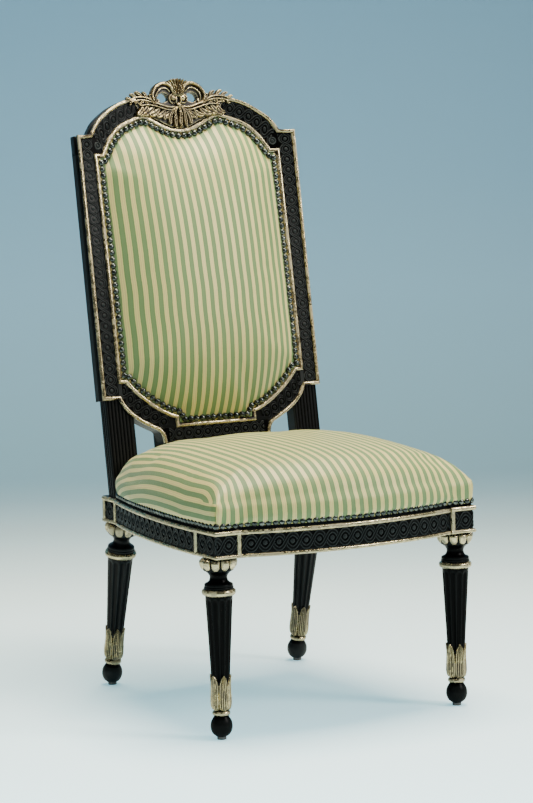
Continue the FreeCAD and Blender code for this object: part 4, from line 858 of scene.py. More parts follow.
def band_map(geo, fn, st, z0, z1, pitch, ring, phase, floor=3.0, step=0.75):
    """Carved guilloche between z0 and z1 standing on the sunk ground."""
    s = np.asarray(st, float)
    nz = int((z1 - z0) / step) + 1
    zs = np.linspace(z0, z1, nz)
    A, B = fn(s, 0.0), fn(s, 1.0)
    nrm = A - B
    arc = lengths(A)
    arc = arc - arc[len(arc) // 2]
    rows = []
    hw = (z1 - z0) / 2
    for z in zs:
        h = guilloche(arc, np.full(len(s), z - (z0 + z1) / 2), pitch, hw, ring, phase)
        h = h + 0.07 * wob(arc * 1.0 + z * 1.7, 5, 1.6)
        xy = A - nrm * (floor - 0.15 - h)[:, None]
        rows.append(np.concatenate([xy, np.full((len(s), 1), z)], 1))
    for z in (z1, z0):
        rows.append(np.concatenate([fn(s, floor + 1.6), np.full((len(s), 1), z)], 1))
    geo.loft(np.stack(rows, 1))


RAIL_SEC = [(28.0, BOT), (1.2, BOT), (0.9, BOT + 0.4), (0.9, BEAD_LO + 0.1), (3.0, BEAD_LO + 0.2), (3.0, BEAD_HI - 0.2), (0.9, BEAD_HI - 0.1), (0.9, TOPB - 0.4), (1.4, TOPB), (5.0, TOPB + 0.2), (5.0, TOP), (28.0, TOP)]

wood_front = Geo()
xs = np.linspace(-DIE_IN, DIE_IN, 121)
strip_map(wood_front, fn_front, xs, RAIL_SEC)
wood_front.obj("front_seat_rail_body", M_WOOD_X, "ebonised_wood", ("front_seat_rail",))
carve_front = Geo()
xs = np.linspace(-DIE_IN + 0.6, DIE_IN - 0.6, 601)
band_map(carve_front, fn_front, xs, BEAD_LO + 0.2, BEAD_HI - 0.2, 25.4, 7.2, 0.0)
carve_front.obj("front_seat_rail_carving", M_CARVE, "ebonised_wood")
gilt_seat = Geo()
xs = np.linspace(-DIE_IN + 0.2, DIE_IN - 0.2, 241)
bead_map(gilt_seat, fn_front, xs, BOT + 0.2, BEAD_LO, 2.9, 11, drop=0.5)
bead_map(gilt_seat, fn_front, xs, BEAD_HI, TOPB - 0.2, 3.1, 23, drop=0.9)

for name, sg in (("left", -1), ("right", 1)):
    g = Geo()
    ys = np.linspace(DIE_D, 470.3, 111)
    strip_map(g, fn_side(sg), ys, RAIL_SEC)
    g.obj("side_seat_rail_%s_body" % name, M_WOOD_Y, "ebonised_wood", ("side_seat_rail_" + name,))
    g = Geo()
    ys = np.linspace(DIE_D + 0.6, 469.7, 541)
    band_map(g, fn_side(sg), ys, BEAD_LO + 0.2, BEAD_HI - 0.2, 25.4, 7.2, 0.0)
    g.obj("side_seat_rail_%s_carving" % name, M_CARVE, "ebonised_wood")
    ys = np.linspace(DIE_D + 0.2, 470.1, 221)
    bead_map(gilt_seat, fn_side(sg), ys, BOT + 0.2, BEAD_LO, 2.9, 31 + sg, drop=0.5)
    bead_map(gilt_seat, fn_side(sg), ys, BEAD_HI, TOPB - 0.2, 3.1, 43 + sg, drop=0.9)


def die_points(sg, d, n=14):
    """Plan of a front die's two shown faces drawn in by d, from the inner end of its front round the corner to its back."""
    cx, cy = corner(d)
    xs = np.linspace(DIE_IN, cx, n)
    ys = np.linspace(cy, DIE_D, n + 4)[1:]
    P = np.concatenate([np.stack([xs, np.full(n, float(d))], -1), np.stack([side_x(ys, d), ys], -1)])
    P[:, 0] *= sg
    return P


def die(wood, carve, gilt, sg, seed):
    prof = RAIL_SEC[1:-1]
    # solid block with its sunk band, closed at the back
    rows = []
    for d, z in prof:
        P = die_points(sg, d)
        P = np.concatenate([P, [[sg * (DIE_IN), DIE_D]]])
        rows.append(np.concatenate([P, np.full((len(P), 1), z)], 1))
    S = np.stack(rows, 0)
    wood.loft(S)
    # beads wrap the corner with a mitre
    n0 = len(die_points(sg, 0.0))
    s = lengths(die_points(sg, 0.0))
    for z0, z1, high in ((BOT + 0.1, BEAD_LO, 3.0), (BEAD_HI, TOPB - 0.1, 3.2)):
        xs_, hs = bead_profile(z1 - z0, high)
        rows = []
        for k, (x, h) in enumerate(zip(xs_, hs)):
            P = die_points(sg, 1.2 - h)
            rows.append(np.concatenate([P, np.full((n0, 1), z0 + x)], 1))
        for z in (z1, z0):
            rows.append(np.concatenate([die_points(sg, 3.6), np.full((n0, 1), z)], 1))
        gilt.loft(np.stack(rows, 1))
    # upright fillets: inner edge of the front face, back edge of the side face
    zz = np.linspace(BEAD_LO - 1.2, BEAD_HI + 1.2, 15)
    xs_, hs = bead_profile(7.8, 2.9)
    rows = []
    for k, (x, h) in enumerate(zip(xs_, hs)):
        hh = h + (0.12 * wob(zz, seed + k, 0.4) if 0 < k < len(xs_) - 1 else 0)
        rows.append(np.stack([np.full(15, sg * (DIE_IN + x)), 1.2 - np.broadcast_to(hh, 15), zz], -1))
    for x in (7.8, 0.0):
        rows.append(np.stack([np.full(15, sg * (DIE_IN + x)), np.full(15, 4.0), zz], -1))
    gilt.loft(np.stack(rows, 1))
    rows = []
    for k, (x, h) in enumerate(zip(xs_, hs)):
        y = DIE_D - 7.8 + x
        rows.append(np.stack([np.full(15, sg * side_x(y, 1.2 - h)), np.full(15, y), zz], -1))
    for x in (7.8, 0.0):
        y = DIE_D - 7.8 + x
        rows.append(np.stack([np.full(15, sg * side_x(y, 4.0)), np.full(15, y), zz], -1))
    gilt.loft(np.stack(rows, 1))
    # a bit of the carved band on each face
    cx, cy = corner(3.0)
    xs = np.linspace(DIE_IN + 7.6, cx - 0.2, 56) * sg
    if sg < 0:
        xs = xs[::-1]
    band_map(carve, fn_flat, xs, BEAD_LO + 0.2, BEAD_HI - 0.2, 25.4, 7.2, 3.0)
    ys = np.linspace(cy + 0.3, DIE_D - 7.6, 84)
    band_map(carve, fn_side(sg), ys, BEAD_LO + 0.2, BEAD_HI - 0.2, 25.4, 7.2, 12.0)


for name, sg in (("left", -1), ("right", 1)):
    wood, carve = Geo(), Geo()
    build_leg(wood, gilt_seat, sg * 248.0, 34.5, 0.0, 327.6, 100 + 9 * sg)
    die(wood, carve, gilt_seat, sg, 60 + sg)
    wood.obj("front_leg_%s_body" % name, M_WOOD_Z, "ebonised_wood", ("front_leg_" + name,))
    carve.obj("front_leg_%s_carving" % name, M_CARVE, "ebonised_wood")

# ------------------------------------------------------------------ rear uprights: leg, block, reeded post and stile
STILE_OUT, STILE_IN, STILE_BOT, STILE_TOP = 238.4, 195.5, 187.0, 660.0


def block_rear(wood, carve, gilt, sg, seed):
    x0, x1 = 170.0, 235.2
    y0, y1 = 470.3, 526.0
    prof = RAIL_SEC[1:-3] + [(1.6, TOPB + 0.1)]
    rows = []
    for d, z in prof:
        # the outer face carries the section, front, back and inner faces are plain
        P = np.array([(x1 - d, y0), (x1 - d, y0 + 9), (x1 - d, y1 - 9), (x1 - d, y1), (x0, y1), (x0, y0)], float)
        P[:, 0] *= sg
        rows.append(np.concatenate([P, np.full((len(P), 1), z)], 1))
    wood.loft(np.stack(rows, 0))
    ys = np.linspace(y0 + 0.2, y1 - 0.2, 31)
    fn = fn_block(sg)
    bead_map(gilt, fn, ys, BOT + 0.2, BEAD_LO, 2.9, seed)
    bead_map(gilt, fn, ys, BEAD_HI, TOPB - 0.2, 3.1, seed + 9)
    band_map(carve, fn, np.linspace(y0 + 8, y1 - 8, 54), BEAD_LO + 0.2, BEAD_HI - 0.2, 25.4, 7.2, 0.0)
    zz = np.linspace(BEAD_LO - 1.2, BEAD_HI + 1.2, 15)
    for ya in (y0 + 0.2, y1 - 8.0):
        xs_, hs = bead_profile(7.6, 2.9)
        rows = [np.stack([np.full(15, sg * (x1 - 1.2 + h)), np.full(15, ya + x), zz], -1) for x, h in zip(xs_, hs)]
        for x in (7.6, 0.0):
            rows.append(np.stack([np.full(15, sg * (x1 - 4.0)), np.full(15, ya + x), zz], -1))
        gilt.loft(np.stack(rows, 1))


def post(wood, sg):
    """The post between block and back frame, reeded down its front and outer side."""
    u0, u1, t0, t1 = 175.0, 230.6, 4.0, 33.0
    nf = 7 * 10
    f = np.linspace(0, 1, nf + 1)
    x = u0 + 3.0 + (u1 - u0 - 6.0) * f
    reed = 1.5 * np.abs(np.sin(math.pi * 7 * f)) ** 0.55
    line = [(u0, t1), (u0, t0 + 1.2), (u0 + 1.2, t0)] + [(a, t0 + 1.5 - b) for a, b in zip(x, reed)] + [(u1 - 1.2, t0), (u1, t0 + 1.2)]
    side = np.linspace(0, 1, 25)
    line += [(u1 - 1.2 + 1.2 * abs(math.sin(math.pi * 3 * q)) ** 0.6, t0 + 3 + (t1 - t0 - 6) * q) for q in side]
    line += [(u1, t1 - 1.2), (u1 - 1.2, t1), (u0 + 1.2, t1)]
    line = np.array(line)
    # the top of the post follows the under edge of the frame
    top = np.interp(line[:, 0], [175.0, 180.2, 195.5, 205.0, 230.6], [150.0, 154.5, 171.0, 188.5, 188.5])
    ls = np.linspace(0, 1, 60)
    rows = []
    for q in ls:
        l = -3.0 + (top + 4.0 + 3.0) * q
        rows.append(back(sg * line[:, 0], line[:, 1], l))
    wood.loft(np.stack(rows, 0))


BODY = [  # black body of the frame: part of width, mm, depth
    (0, 1.0, 1.2), (0, 7.4, 1.2), (0, 7.8, 3.2), (1, -8.4, 3.2), (1, -8.0, 1.2), (1, -1.0, 1.2), (1, 0.0, 2.2), (1, 0.0, 33.0), (1, -1.0, 34.0),
    (0, 1.0, 34.0), (0, 0.0, 33.0), (0, 0.0, 17.8), (0, 0.9, 17.2), (0, 3.2, 16.0), (0, 4.6, 13.6), (0, 4.9, 11.8), (0, 4.4, 9.6), (0, 2.6, 7.6), (0, 0.6, 6.6), (0, 0.0, 6.0), (0, 0.0, 2.2),
]


def stile_wood(wood, sg):
    l = np.concatenate([[STILE_BOT, STILE_BOT + 0.8], np.linspace(STILE_BOT + 4, STILE_TOP, 70)])
    O = np.stack([np.full(len(l), STILE_OUT), l], -1)
    I = np.stack([np.full(len(l), STILE_IN), l], -1)
    if sg < 0:
        O, I = mirror_u(O), mirror_u(I)
    strip_back(wood, O, I, BODY)


def band_back(geo, A, B, pitch, ring, phase=0.0, floor=3.2, step=0.7, flip=False, arc=None):
    """Carved guilloche between two lines (u, l) of equal count on the dished front."""
    A, B = np.asarray(A, float), np.asarray(B, float)
    mid = (A + B) / 2
    s = lengths(mid) if arc is None else arc
    w = np.linalg.norm(B - A, axis=1)
    m = int(np.median(w) / step) + 1
    rows = []
    for k in range(m):
        q = k / (m - 1)
        wd = (q - 0.5) * w * (-1 if flip else 1)
        hw = w / 2
        h = guilloche(s, wd * (13.0 / hw), pitch, 13.0, ring, phase)
        h = h + 0.06 * wob(s * 1.0 + k * 0.9, 9, 1.5)
        edge = min(k, m - 1 - k)
        if edge == 0:
            h = np.minimum(h, 0.6)
        rows.append(pbk(A + (B - A) * q, floor - 0.1 - h))
    rows.append(pbk(B, floor + 1.5))
    rows.append(pbk(A, floor + 1.5))
    geo.loft(np.stack(rows, 1))


gilt_back = Geo()
for name, sg in (("left", -1), ("right", 1)):
    wood, carve = Geo(), Geo()
    build_leg(wood, gilt_seat, sg * 207.0, 566.5, 11.9, 334.0, 200 + 9 * sg)
    block_rear(wood, carve, gilt_seat, sg, 71 + sg)
    post(wood, sg)
    stile_wood(wood, sg)
    l = np.linspace(195.0, 689.0, 700)
    A = np.stack([np.full(len(l), 231.2), l], -1)
    B = np.stack([np.full(len(l), 204.0), l], -1)
    if sg < 0:
        A, B = mirror_u(A), mirror_u(B)
    band_back(carve, A, B, 20.6, 6.0, phase=10.0, flip=sg < 0)
    wood.obj("rear_upright_%s_body" % name, M_POST, "ebonised_wood", ("rear_upright_" + name,))
    carve.obj("rear_upright_%s_carving" % name, M_CARVE, "ebonised_wood")

# ------------------------------------------------------------------ crest rail
ARCH_OUT = spline([(207.5, 699.0), (198.0, 714.0), (188.0, 726.0), (170.0, 740.0), (150.0, 753.0), (130.0, 762.0), (110.0, 768.0), (95.0, 770.0)], 2.0)
ARCH_IN = spline([(181.5, 653.0), (172.0, 668.5), (162.0, 684.0), (153.0, 694.0), (143.5, 704.0), (126.5, 714.0), (107.5, 721.5), (93.0, 727.0), (83.0, 729.5)], 2.0)
SWAG = spline([(83.0, 729.5), (76.0, 728.0), (58.0, 719.5), (38.5, 709.7), (19.5, 703.0), (0.0, 700.5)], 2.0)
N_ARCH = 110
ao, ai = resample(ARCH_OUT, n=N_ARCH), resample(ARCH_IN, n=N_ARCH)
crest = Geo()
for sg in (-1, 1):
    O = np.concatenate([[(238.4, 660.0), (238.4, 672.0), (238.4, 684.0), (238.4, 696.2), (238.0, 697.0), (222.0, 697.0), (210.0, 697.4)], ao,
                        [(92.0, 762.0), (88.0, 753.0), (84.0, 747.0), (72.0, 742.0), (60.0, 742.0), (45.0, 742.0), (30.0, 742.0), (15.0, 742.0), (0.0, 742.0)]])
    sw = resample(SWAG, n=11)[1:]
    I = np.concatenate([[(195.5, 660.0), (195.5, 657.0), (195.5, 654.5), (195.0, 653.0), (191.0, 653.0), (187.0, 653.0), (184.0, 653.0)], ai, sw[1:]])
    I = I[:len(O)] if len(I) > len(O) else np.concatenate([I, np.repeat(I[-1:], len(O) - len(I), 0)])
    I[-1] = (0.0, 700.5)
    if sg < 0:
        O, I = mirror_u(O), mirror_u(I)
    strip_back(crest, O, I, BODY)
crest.obj("crest_rail_body", M_WOOD_X, "ebonised_wood", ("crest_rail",))

crest_carved = Geo()
for sg in (-1, 1):
    n = 560
    o, i = resample(ao, n=n), resample(ai, n=n)
    w = np.linalg.norm(i - o, axis=1)[:, None]
    d = (i - o) / w
    A, B = o + d * 7.8, i - d * 8.2
    s = lengths((A + B) / 2)
    # panel with a round end, clear of the stile's band
    keep = s < s[-1] - 2.0
    a0 = int(0.06 * n)
    A, B, s = A[a0:][keep[a0:]], B[a0:][keep[a0:]], s[a0:][keep[a0:]]
    tail = (s[-1] - s) / 12.0
    r = np.sqrt(np.clip(1 - np.clip(1 - tail, 0, 1) ** 2, 0.0, 1))
    r = np.maximum(r, 0.10)[:, None]
    mid = (A + B) / 2
    A, B = mid + (A - mid) * r, mid + (B - mid) * r
    if sg < 0:
        A, B = mirror_u(A), mirror_u(B)
    w2 = np.linalg.norm(B - A, axis=1)
    # relief is drawn from the full width so that the round end only trims it
    m = 36
    rows = []
    full = np.linalg.norm(i - o, axis=1)[a0:][keep[a0:]] - 16.0
    for k in range(m):
        q = k / (m - 1)
        wd = (q - 0.5) * w2 * (-1 if sg < 0 else 1)
        h = guilloche(s, wd * 26.0 / full, 20.6, 13.0, 6.0, 8.0) + 0.06 * wob(s + k, 9, 1.5)
        if k in (0, m - 1):
            h = np.minimum(h, 0.6)
        rows.append(pbk(A + (B - A) * q, 3.1 - h))
    rows.append(pbk(B, 4.7))
    rows.append(pbk(A, 4.7))
    crest_carved.loft(np.stack(rows, 1))
for sg in (-1, 1):
    cu, cl = sg * 192.0, 676.5
    th = np.arange(48) / 48 * 2 * math.pi
    ph = np.arange(12) / 12 * 2 * math.pi
    rr = 6.2 + 1.7 * np.cos(ph)
    S = np.stack([pbk(np.stack([cu + rr * math.cos(a), cl + rr * math.sin(a)], -1), 3.1 - 2.1 * np.sin(ph)) for a in th])
    crest_carved.loft(S, closed=True)
    r_ = np.array([3.4, 3.2, 2.7, 1.9, 0.9, 0.05])
    h_ = np.array([-1.5, 0.5, 1.3, 1.9, 2.2, 2.3])
    S = np.stack([pbk(np.stack([cu + a * np.cos(th), cl + a * np.sin(th)], -1), 3.1 - b) for a, b in zip(r_, h_)])
    crest_carved.loft(S)
crest_carved.obj("crest_rail_carving", M_CARVE, "ebonised_wood")

# ------------------------------------------------------------------ lower rail of the back
LOW_OUT = spline([(205.0, 187.0), (195.2, 170.0), (180.2, 153.7), (160.0, 139.0), (140.0, 128.0), (126.0, 120.5), (120.0, 113.0), (117.6, 104.0)], 2.0)
LOW_IN = spline([(184.0, 224.5), (174.0, 213.0), (160.0, 198.0), (140.0, 181.0), (120.0, 167.0), (100.0, 156.0), (84.0, 150.0)], 2.0)
lower = Geo()
LOWBODY = [(0, 1.0, 1.2), (0, 7.4, 1.2), (0, 7.8, 3.2), (1, -8.4, 3.2), (1, -8.0, 1.2), (1, -1.0, 1.2), (1, 0.0, 2.2), (1, 0.0, 33.0), (1, -1.0, 34.0), (0, 1.0, 34.0), (0, 0.0, 33.0), (0, 0.0, 2.2)]
for sg in (-1, 1):
    lo, li = resample(LOW_OUT, n=60), resample(LOW_IN, n=60)
    O = np.concatenate([[(232.0, 187.0), (222.0, 187.0), (212.0, 187.0)], lo[:-6]])
    I = np.concatenate([[(195.5, 226.0), (193.5, 224.8), (189.0, 224.5)], li[:-6]])
    if sg < 0:
        O, I = mirror_u(O), mirror_u(I)
    strip_back(lower, O, I, LOWBODY)
# the straight middle, deeper than the ends
mid_sec = [(86.0, 3.0), (87.0, 1.6), (99.0, 1.2), (100.0, 3.2), (125.6, 3.2), (126.0, 1.2), (132.0, 1.2), (133.0, 2.2), (133.0, 33.0), (128.0, 34.0), (127.5, 45.0), (126.0, 46.0), (88.0, 46.0), (86.0, 44.0)]
us = np.linspace(-117.0, 117.0, 60)
rows = [pbk(np.stack([us, np.full(60, l)], -1), t) for l, t in mid_sec]
lower.loft(np.stack(rows, 1))
# shoulders that fill between middle and curved ends
for sg in (-1, 1):
    P = [(78.0, 120.0), (78.0, 149.0), (84.0, 150.0), (100.0, 156.0), (112.0, 162.0), (124.0, 119.0), (118.5, 108.0), (117.0, 100.0), (100.0, 100.0)]
    F = np.array([(sg * a, b) for a, b in P])
    rows = np.stack([pbk(F, 3.2), pbk(F, 33.5)], 0)
    lower.loft(rows)
lower.obj("back_lower_rail_body", M_WOOD_X, "ebonised_wood", ("back_lower_rail",))

lower_carved = Geo()
for sg in (-1, 1):
    n = 420
    lo, li = resample(LOW_OUT, n=n), resample(LOW_IN, n=n)
    w = np.linalg.norm(li - lo, axis=1)[:, None]
    d = (li - lo) / w
    A, B = (lo + d * 7.8)[:int(n * 0.93)], (li - d * 8.2)[:int(n * 0.93)]
    if sg < 0:
        A, B = mirror_u(A), mirror_u(B)
    band_back(lower_carved, A, B, 20.6, 6.0, phase=4.0, flip=sg > 0)
us = np.linspace(-104.0, 104.0, 320)
A = np.stack([us, np.full(320, 100.2)], -1)
B = np.stack([us, np.full(320, 125.6)], -1)
band_back(lower_carved, A, B, 20.8, 6.0, phase=0.0, arc=us)
lower_carved.obj("back_lower_rail_carving", M_CARVE, "ebonised_wood")

# ------------------------------------------------------------------ gilt beads of the back frame
W_OUT, W_IN = 7.0, 7.8
for sg in (-1, 1):
    # outer bead: from the middle step up the curve, out to the corner, up the stile, in over the top, along the arch
    a = resample(LOW_OUT, step=3.0)[::-1]
    P = np.concatenate([[(117.0, 97.0)], a[:-1], [(205.0, 187.0)], [(222.0, 187.0)], [(238.4, 187.0)], np.stack([np.full(120, 238.4), np.linspace(192.0, 692.0, 120)], -1), [(238.4, 697.0)], [(222.0, 697.2)], resample(ARCH_OUT, step=3.0)])
    seg = np.linalg.norm(np.diff(P, axis=0), axis=1)
    P = P[np.concatenate([[True], seg > 0.4])]
    if sg < 0:
        P = mirror_u(P)
    bead_back(gilt_back, P, W_OUT, 3.0, seed=300 + sg, side=1.0 if sg > 0 else -1.0)
    # inner bead along the opening
    a = resample(LOW_IN, step=3.0)
    P = np.concatenate([[(0.0, 133.0), (20.0, 133.0), (40.0, 133.0), (60.0, 133.0), (80.0, 133.0), (80.0, 141.0), (80.0, 149.2)], a[::-1], [(190.0, 224.5), (195.5, 224.5)], np.stack([np.full(110, 195.5), np.linspace(229.0, 649.0, 110)], -1),
                        [(195.5, 653.0), (189.0, 653.0)], resample(ARCH_IN, step=3.0), resample(SWAG, step=3.0)[1:]])
    if sg < 0:
        P = mirror_u(P)
    bead_back(gilt_back, P, W_IN, 3.1, seed=340 + sg, side=-1.0 if sg > 0 else 1.0)
    # gilt rim round the end of the guilloche panel, up the arch
    th = np.linspace(-1.25, 1.25, 25)
    c = (ao[-1] + ai[-1]) / 2
    ax = (ao[-1] - ai[-1]) / np.linalg.norm(ao[-1] - ai[-1])
    bx = np.array([-ax[1], ax[0]])
    if bx[0] > 0:
        bx = -bx
    P = np.array([c + np.array([5.0, -1.0]) + ax * 11.5 * math.sin(q) + bx * 13.5 * math.cos(q) for q in th])
    if sg < 0:
        P = mirror_u(P)
    bead_back(gilt_back, P, 3.2, 2.6, base=2.6, seed=380 + sg, side=1.0)

gilt_seat.obj("seat_and_leg_gilding", M_GILT, "gilt_carving")
gilt_back.obj("back_frame_gilding", M_GILT, "gilt_carving")

# ------------------------------------------------------------------ upholstery helpers
def soft_mesh(name, V, quads, uu, vv, mat):
    """A closed soft piece from chair millimetres, with the cloth's own measure in the corners of its faces."""
    me = bpy.data.meshes.new(name)
    v = np.asarray(V, float).copy()
    v[:, 1] -= SHIFT
    v *= 0.001
    q = np.asarray(quads, int)
    me.vertices.add(len(v))
    me.vertices.foreach_set("co", v.astype(np.float32).ravel())
    me.loops.add(q.size)
    me.loops.foreach_set("vertex_index", q.astype(np.int32).ravel())
    me.polygons.add(len(q))
    me.polygons.foreach_set("loop_start", np.arange(0, q.size, 4, dtype=np.int32))
    me.polygons.foreach_set("loop_total", np.full(len(q), 4, np.int32))
    me.update(calc_edges=True)
    me.polygons.foreach_set("use_smooth", np.ones(len(q), bool))
    for nm, val in (("fab_u", uu), ("fab_v", vv)):
        a = me.attributes.new(nm, "FLOAT", "CORNER")
        a.data.foreach_set("value", np.asarray(val, np.float32).ravel())
    o = bpy.data.objects.new(name, me)
    bpy.context.scene.collection.objects.link(o)
    me.materials.append(mat)
    return o


def outward(V, quads):
    """+1 where the closed mesh's faces look out, else -1."""
    w = V - V.mean(0)
    a, b, c, d = (w[quads[:, k]] for k in range(4))
    return 1 if (np.einsum("ij,ij->", a, np.cross(b, c)) + np.einsum("ij,ij->", a, np.cross(c, d))) > 0 else -1


def stuff(o, pinned, pressure, cap_mm, frames=20, stiff=12.0, shrink=0.0):
    """Inflates the piece as sewn cloth: pinned points stay, the rest may move by cap_mm."""
    me = o.data
    n = len(me.vertices)
    rest = np.zeros(n * 3, np.float32)
    me.vertices.foreach_get("co", rest)
    rest = rest.reshape(-1, 3)
    grp = o.vertex_groups.new(name="pin")
    grp.add([int(i) for i in np.nonzero(pinned)[0]], 1.0, "REPLACE")
    mod = o.modifiers.new("cloth", "CLOTH")
    s = mod.settings
    s.quality = 7
    s.mass = 0.3
    s.tension_stiffness = stiff
    s.compression_stiffness = stiff
    s.shear_stiffness = stiff * 0.4
    s.bending_stiffness = 0.35
    s.tension_damping = 12
    s.compression_damping = 12
    s.shear_damping = 12
    s.bending_damping = 0.8
    s.air_damping = 4.0
    s.use_pressure = True
    s.uniform_pressure_force = pressure
    s.shrink_min = shrink
    s.effector_weights.gravity = 0.0
    s.vertex_group_mass = "pin"
    mod.collision_settings.use_collision = False
    sc = bpy.context.scene
    sc.frame_start, sc.frame_end = 1, frames
    mod.point_cache.frame_start, mod.point_cache.frame_end = 1, frames
    for f in range(1, frames + 1):
        sc.frame_set(f)
    dg = bpy.context.evaluated_depsgraph_get()
    ev = o.evaluated_get(dg)
    got = np.zeros(n * 3, np.float32)
    ev.to_mesh().vertices.foreach_get("co", got)
    ev.to_mesh_clear()
    got = got.reshape(-1, 3)
    o.modifiers.remove(mod)
    d = got - rest
    L = np.linalg.norm(d, axis=1)
    cap = cap_mm * 0.001
    k = np.where(L > cap, cap / np.maximum(L, 1e-9), 1.0)
    new = rest + d * k[:, None]
    me.vertices.foreach_set("co", new.astype(np.float32).ravel())
    me.update()
    sc.frame_set(1)
    return float(np.median(L) * 1000), float(L.max() * 1000)


def subdivided(o):
    """One level of smoothing subdivision, made real."""
    mod = o.modifiers.new("finer", "SUBSURF")
    mod.levels = mod.render_levels = 1
    mod.boundary_smooth = "PRESERVE_CORNERS"
    dg = bpy.context.evaluated_depsgraph_get()
    me = bpy.data.meshes.new_from_object(o.evaluated_get(dg), preserve_all_data_layers=True, depsgraph=dg)
    o.modifiers.remove(mod)
    old = o.data
    o.data = me
    me.name = old.name + "_m"
    bpy.data.meshes.remove(old)
    me.polygons.foreach_set("use_smooth", np.ones(len(me.polygons), bool))
    me.update()


def get_co(o):
    c = np.zeros(len(o.data.vertices) * 3, np.float32)
    o.data.vertices.foreach_get("co", c)
    c = c.reshape(-1, 3).astype(float) * 1000.0
    c[:, 1] += SHIFT
    return c


def set_co(o, c):
    c = np.asarray(c, float).copy()
    c[:, 1] -= SHIFT
    o.data.vertices.foreach_set("co", (c * 0.001).astype(np.float32).ravel())
    o.data.update()


def graded(a, b, edge, core):
    """Steps from a to b: the given small steps inwards from both ends, even ones of about core between."""
    e = np.cumsum([0.0] + list(edge))
    n = max(2, int(round((b - a - 2 * e[-1]) / core)))
    mid = np.linspace(a + e[-1], b - e[-1], n + 1)
    return np.concatenate([a + e[:-1], mid, (b - e[:-1])[::-1]])


# ------------------------------------------------------------------ seat cushion
XA = 219.3


def cush_front(x, d):
    """Front edge of the cushion drawn in by d."""
    x = np.asarray(x, float)
    k = np.clip((np.abs(x) - XA + 12) / 24.0, 0, 1)
    bow = FC[1] - np.sqrt(np.maximum((FC[2] - d) ** 2 - np.minimum(np.abs(x), XA + 8.0) ** 2, 1.0))
    return bow * (1 - smooth01(k)) + (d + 0.4) * smooth01(k)


CUSH_BACK = 468.6
EDGE_Z, RISE = 426.5, 76.5
PF = np.array([(-1.0, 0.0), (0.0, 0.0), (1.2, 0.075), (3.0, 0.15), (6.0, 0.24), (9.5, 0.32), (14.0, 0.40), (19.0, 0.468), (29.0, 0.56), (39.0, 0.635), (49.0, 0.69), (59.0, 0.74), (74.0, 0.795), (89.0, 0.84), (109.0, 0.885), (129.0, 0.92), (159.0, 0.955), (189.0, 0.975), (229.0, 0.992), (269.0, 1.0), (480.0, 1.0)])
PS = np.array([(-1.0, 0.0), (0.0, 0.0), (1.2, 0.075), (3.0, 0.14), (6.0, 0.22), (9.5, 0.275), (14.0, 0.33), (19.0, 0.375), (26.0, 0.425), (34.0, 0.475), (53.0, 0.565), (68.0, 0.645), (82.0, 0.70), (98.0, 0.755), (114.0, 0.805), (130.0, 0.845), (145.0, 0.875), (162.0, 0.905), (178.0, 0.923), (194.0, 0.942), (211.0, 0.962), (228.0, 0.977), (245.0, 0.988), (270.0, 1.0)])
PB = np.array([(-1.0, 0.0), (0.0, 0.0), (1.5, 0.12), (4.0, 0.25), (9.0, 0.42), (16.0, 0.56), (26.0, 0.67), (40.0, 0.765), (68.0, 0.875), (108.0, 0.94), (148.0, 0.975), (200.0, 1.0), (480.0, 1.0)])


def monotone(x, T):
    """Smooth curve through a rising table (Fritsch-Carlson)."""
    X, Y = T[:, 0], T[:, 1]
    h = np.diff(X)
    d = np.diff(Y) / h
    m = np.concatenate([[d[0]], np.where(d[:-1] * d[1:] > 0, 2 * d[:-1] * d[1:] / np.where(d[:-1] + d[1:] == 0, 1, d[:-1] + d[1:]), 0.0), [d[-1]]])
    x = np.clip(np.asarray(x, float), X[0], X[-1])
    i = np.clip(np.searchsorted(X, x, side="right") - 1, 0, len(h) - 1)
    t = (x - X[i]) / h[i]
    return (2 * t ** 3 - 3 * t ** 2 + 1) * Y[i] + (t ** 3 - 2 * t ** 2 + t) * h[i] * m[i] + (-2 * t ** 3 + 3 * t ** 2) * Y[i + 1] + (t ** 3 - t ** 2) * h[i] * m[i + 1]


